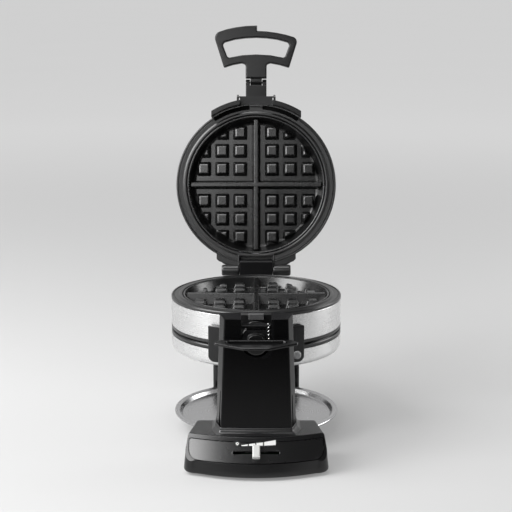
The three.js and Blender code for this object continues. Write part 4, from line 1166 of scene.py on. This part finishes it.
# --------------------------------------------------- rear guard, inlet, tray
guard_plan = round_rect(-56, 56, 101.4, 110.6, 3.4, 8)
gr = [[(x, y, DECK_TOP + 0.3) for x, y in guard_plan], [(x, y, -124.0) for x, y in guard_plan]]
for k in range(1, 7):
    t = math.pi / 2 * k / 6
    gr.append([(x * (1 - 0.06 * (1 - math.cos(t))), y, -124.0 + 5.6 * math.sin(t)) for x, y in inset(guard_plan, 3.2 * (1 - math.cos(t)))])
guard = obj_of("guard_rear", loft(gr))
boolean(guard, [brick(-40, 40, 109.7, 130, -146, -130, 2.5, 0.3)])
bevel(guard, 0.4, 2, 40)
finish(guard, M_HOUSING, "stand", "rear_guard", slot="housing_black")
inlet = merge(rod_y(7.5, 112.4, 114.6, 30, -158.6, 0.6, 40))
io = obj_of("inlet_cord", inlet)
boolean(io, [rod_y(5.2, 114.0, 121.5, 30, -158.6, 1.0, 40)] + [rod_y(5.7, 115.6 + 1.9 * k, 116.5 + 1.9 * k, 30, -158.6, 0.25, 40) for k in range(3)], "UNION")
boolean(io, rod_y(3.4, 118.5, 123, 30, -158.6, 0.2, 32))
finish(io, M_RUBBER, "stand", "cord_inlet", slot="foot_rubber")
TZ = DECK_TOP + 0.3
tp = fillet([(0, TZ), (91.2, TZ), (94.6, TZ + 5.0), (97.0, TZ + 5.3)], [0, 2.4, 0.9, 0], 8, closed=False)
tin = fillet([(0, TZ + 0.9), (90.6, TZ + 0.9), (93.9, TZ + 5.9), (97.0, TZ + 6.2)], [0, 1.6, 1.6, 0], 8, closed=False)
tray_prof = list(tp[:-1]) + [(96.9, TZ + 4.6)] + arc(98.25, TZ + 5.1, 1.7, 215, 480, 18) + list(tin[::-1])[1:]
finish(obj_of("tray_drip", lathe(tray_prof, 224, closed=False)), M_TRAY, "drip_tray", "drip_tray", slot="tray_steel")

# --------------------------------------------------- carried-over inner nodes
for nm, mt in (("upper_heater", M_ROD), ("middle_heater", M_ROD), ("lower_heater", M_ROD), ("slide_control", M_BOARD), ("control_board", M_BOARD)):
    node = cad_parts[nm]
    node.data.materials.clear()
    node.data.materials.append(mt)

# -------------------------------------------------------------------- stage
def backdrop():
    me = bpy.data.meshes.new("floor")
    n = 30
    size = 60.0
    me.from_pydata([(-size + 2 * size * i / n, -size + 2 * size * j / n, 0.0) for j in range(n + 1) for i in range(n + 1)], [],
                   [(j * (n + 1) + i, j * (n + 1) + i + 1, (j + 1) * (n + 1) + i + 1, (j + 1) * (n + 1) + i) for j in range(n) for i in range(n)])
    o = bpy.data.objects.new("floor", me)
    scene.collection.objects.link(o)
    k = Nodes("floor_paper_painted_light")
    p = k.coords()
    k.link(k.span(k.noise(p, 300.0, 2.0), 0.3, 0.7, 0.62, 0.7), k.bsdf.inputs["Roughness"])
    k.bsdf.inputs["Specular IOR Level"].default_value = 0.0
    sep = k.add("ShaderNodeSeparateXYZ")
    k.link(p, sep.inputs[0])
    far = k.math("SQRT", k.math("ADD", k.math("MULTIPLY", sep.outputs[0], sep.outputs[0]), k.math("MULTIPLY", sep.outputs[1], sep.outputs[1])))
    # painted light: the paper glows by itself, weakly near the object and more strongly further away
    painted_glow = k.add("ShaderNodeMapRange", interpolation_type="SMOOTHSTEP")
    for i, v in enumerate((0.15, 3.4, 0.21, 0.535)):
        painted_glow.inputs[i + 1].default_value = v
    k.link(far, painted_glow.inputs[0])
    k.bsdf.inputs["Emission Color"].default_value = (1, 1, 1, 1)
    def soft(x, a0, a1, b0, b1):
        m_ = k.add("ShaderNodeMapRange", interpolation_type="SMOOTHSTEP")
        for i, v in enumerate((a0, a1, b0, b1)):
            m_.inputs[i + 1].default_value = v
        k.link(x, m_.inputs[0])
        return m_.outputs[0]
    # painted shade: for rays other than camera rays the floor in front of and beside the object is painted near black,
    # so the object's gloss reflects a dim floor; seen directly, the paper is pale all round
    front = soft(sep.outputs[1], -0.75, -0.29, 0.0, 1.0)
    side = soft(k.math("SUBTRACT", k.math("MULTIPLY", sep.outputs[1], 0.25), sep.outputs[0]), 0.0, 0.30, 0.0, 1.0)
    direct = k.add("ShaderNodeLightPath")
    paper = k.math("MAXIMUM", k.math("MAXIMUM", front, side), direct.outputs["Is Camera Ray"])
    pale = k.mix(k.noise(p, 1.2, 2.0), (0.345, 0.345, 0.345), (0.365, 0.365, 0.365))
    k.link(k.mix(paper, (0.018, 0.018, 0.018), pale), k.bsdf.inputs["Base Color"])
    k.link(k.math("MULTIPLY", painted_glow.outputs[0], paper), k.bsdf.inputs["Emission Strength"])
    me.materials.append(k.mat)
    return o


backdrop()


def area(name, loc, target, size, power, size_y=None, spread=None):
    d = bpy.data.lights.new(name, "AREA")
    d.energy, d.size = power, size
    if size_y:
        d.shape, d.size_y = "RECTANGLE", size_y
    if spread:
        d.spread = math.radians(spread)
    o = bpy.data.objects.new(name, d)
    scene.collection.objects.link(o)
    o.location = loc
    o.rotation_euler = (Vector(target) - Vector(loc)).to_track_quat("-Z", "Y").to_euler()
    return o


area("key_left", (-1.22, -0.40, 1.33), (0, 0.0, 0.15), 1.25, 46.0, 1.25)
area("side_left", (-1.50, -0.57, 0.62), (0, 0.10, 0.33), 0.46, 9.0, 0.46)
area("top", (-0.12, -0.20, 1.90), (0, 0.10, 0.3), 0.55, 7.0, 0.55)
area("front_left", (-0.80, -2.35, 1.15), (0, 0.0, 0.25), 1.5, 20.0, 0.9)
area("fill_right", (1.7, 0.45, 0.65), (0.1, 0.1, 0.10), 0.9, 15.0, 0.9)
sun = bpy.data.lights.new("overhead", "SUN")
sun.energy, sun.angle = 0.35, math.radians(60)
so = bpy.data.objects.new("overhead", sun)
scene.collection.objects.link(so)
so.rotation_euler = Vector((-0.25, 0.30, 1.0)).to_track_quat("Z", "Y").to_euler()

world = bpy.data.worlds.new("studio")
scene.world = world
world.use_nodes = True
wt = world.node_tree
wt.nodes.clear()
wo = wt.nodes.new("ShaderNodeOutputWorld")
w1, w2 = wt.nodes.new("ShaderNodeBackground"), wt.nodes.new("ShaderNodeBackground")
tc = wt.nodes.new("ShaderNodeTexCoord")
sx = wt.nodes.new("ShaderNodeSeparateXYZ")
wt.links.new(tc.outputs["Generated"], sx.inputs[0])


def ramp(sock, a0, a1, b0, b1):
    n = wt.nodes.new("ShaderNodeMapRange")
    n.interpolation_type = "SMOOTHSTEP"
    for i, v in enumerate((a0, a1, b0, b1)):
        n.inputs[i + 1].default_value = v
    wt.links.new(sock, n.inputs[0])
    return n.outputs[0]


# a pale wall far behind the object, a dim room elsewhere
wall = wt.nodes.new("ShaderNodeMath")
wall.operation = "MULTIPLY"
wt.links.new(ramp(sx.outputs[1], 0.0, 0.6, 0.0, 0.55), wall.inputs[0])
wt.links.new(ramp(sx.outputs[2], 0.55, 0.85, 1.0, 0.0), wall.inputs[1])
room = wt.nodes.new("ShaderNodeMath")
room.operation = "ADD"
wt.links.new(wall.outputs[0], room.inputs[0])
room.inputs[1].default_value = 0.055
wt.links.new(room.outputs[0], w1.inputs[0])
w2.inputs[0].default_value = (0.66, 0.66, 0.66, 1)
lp = wt.nodes.new("ShaderNodeLightPath")
mx = wt.nodes.new("ShaderNodeMixShader")
wt.links.new(lp.outputs["Is Camera Ray"], mx.inputs[0])
wt.links.new(w1.outputs[0], mx.inputs[1])
wt.links.new(w2.outputs[0], mx.inputs[2])
wt.links.new(mx.outputs[0], wo.inputs[0])
scene.view_settings.view_transform = "Standard"
scene.view_settings.look = "None"
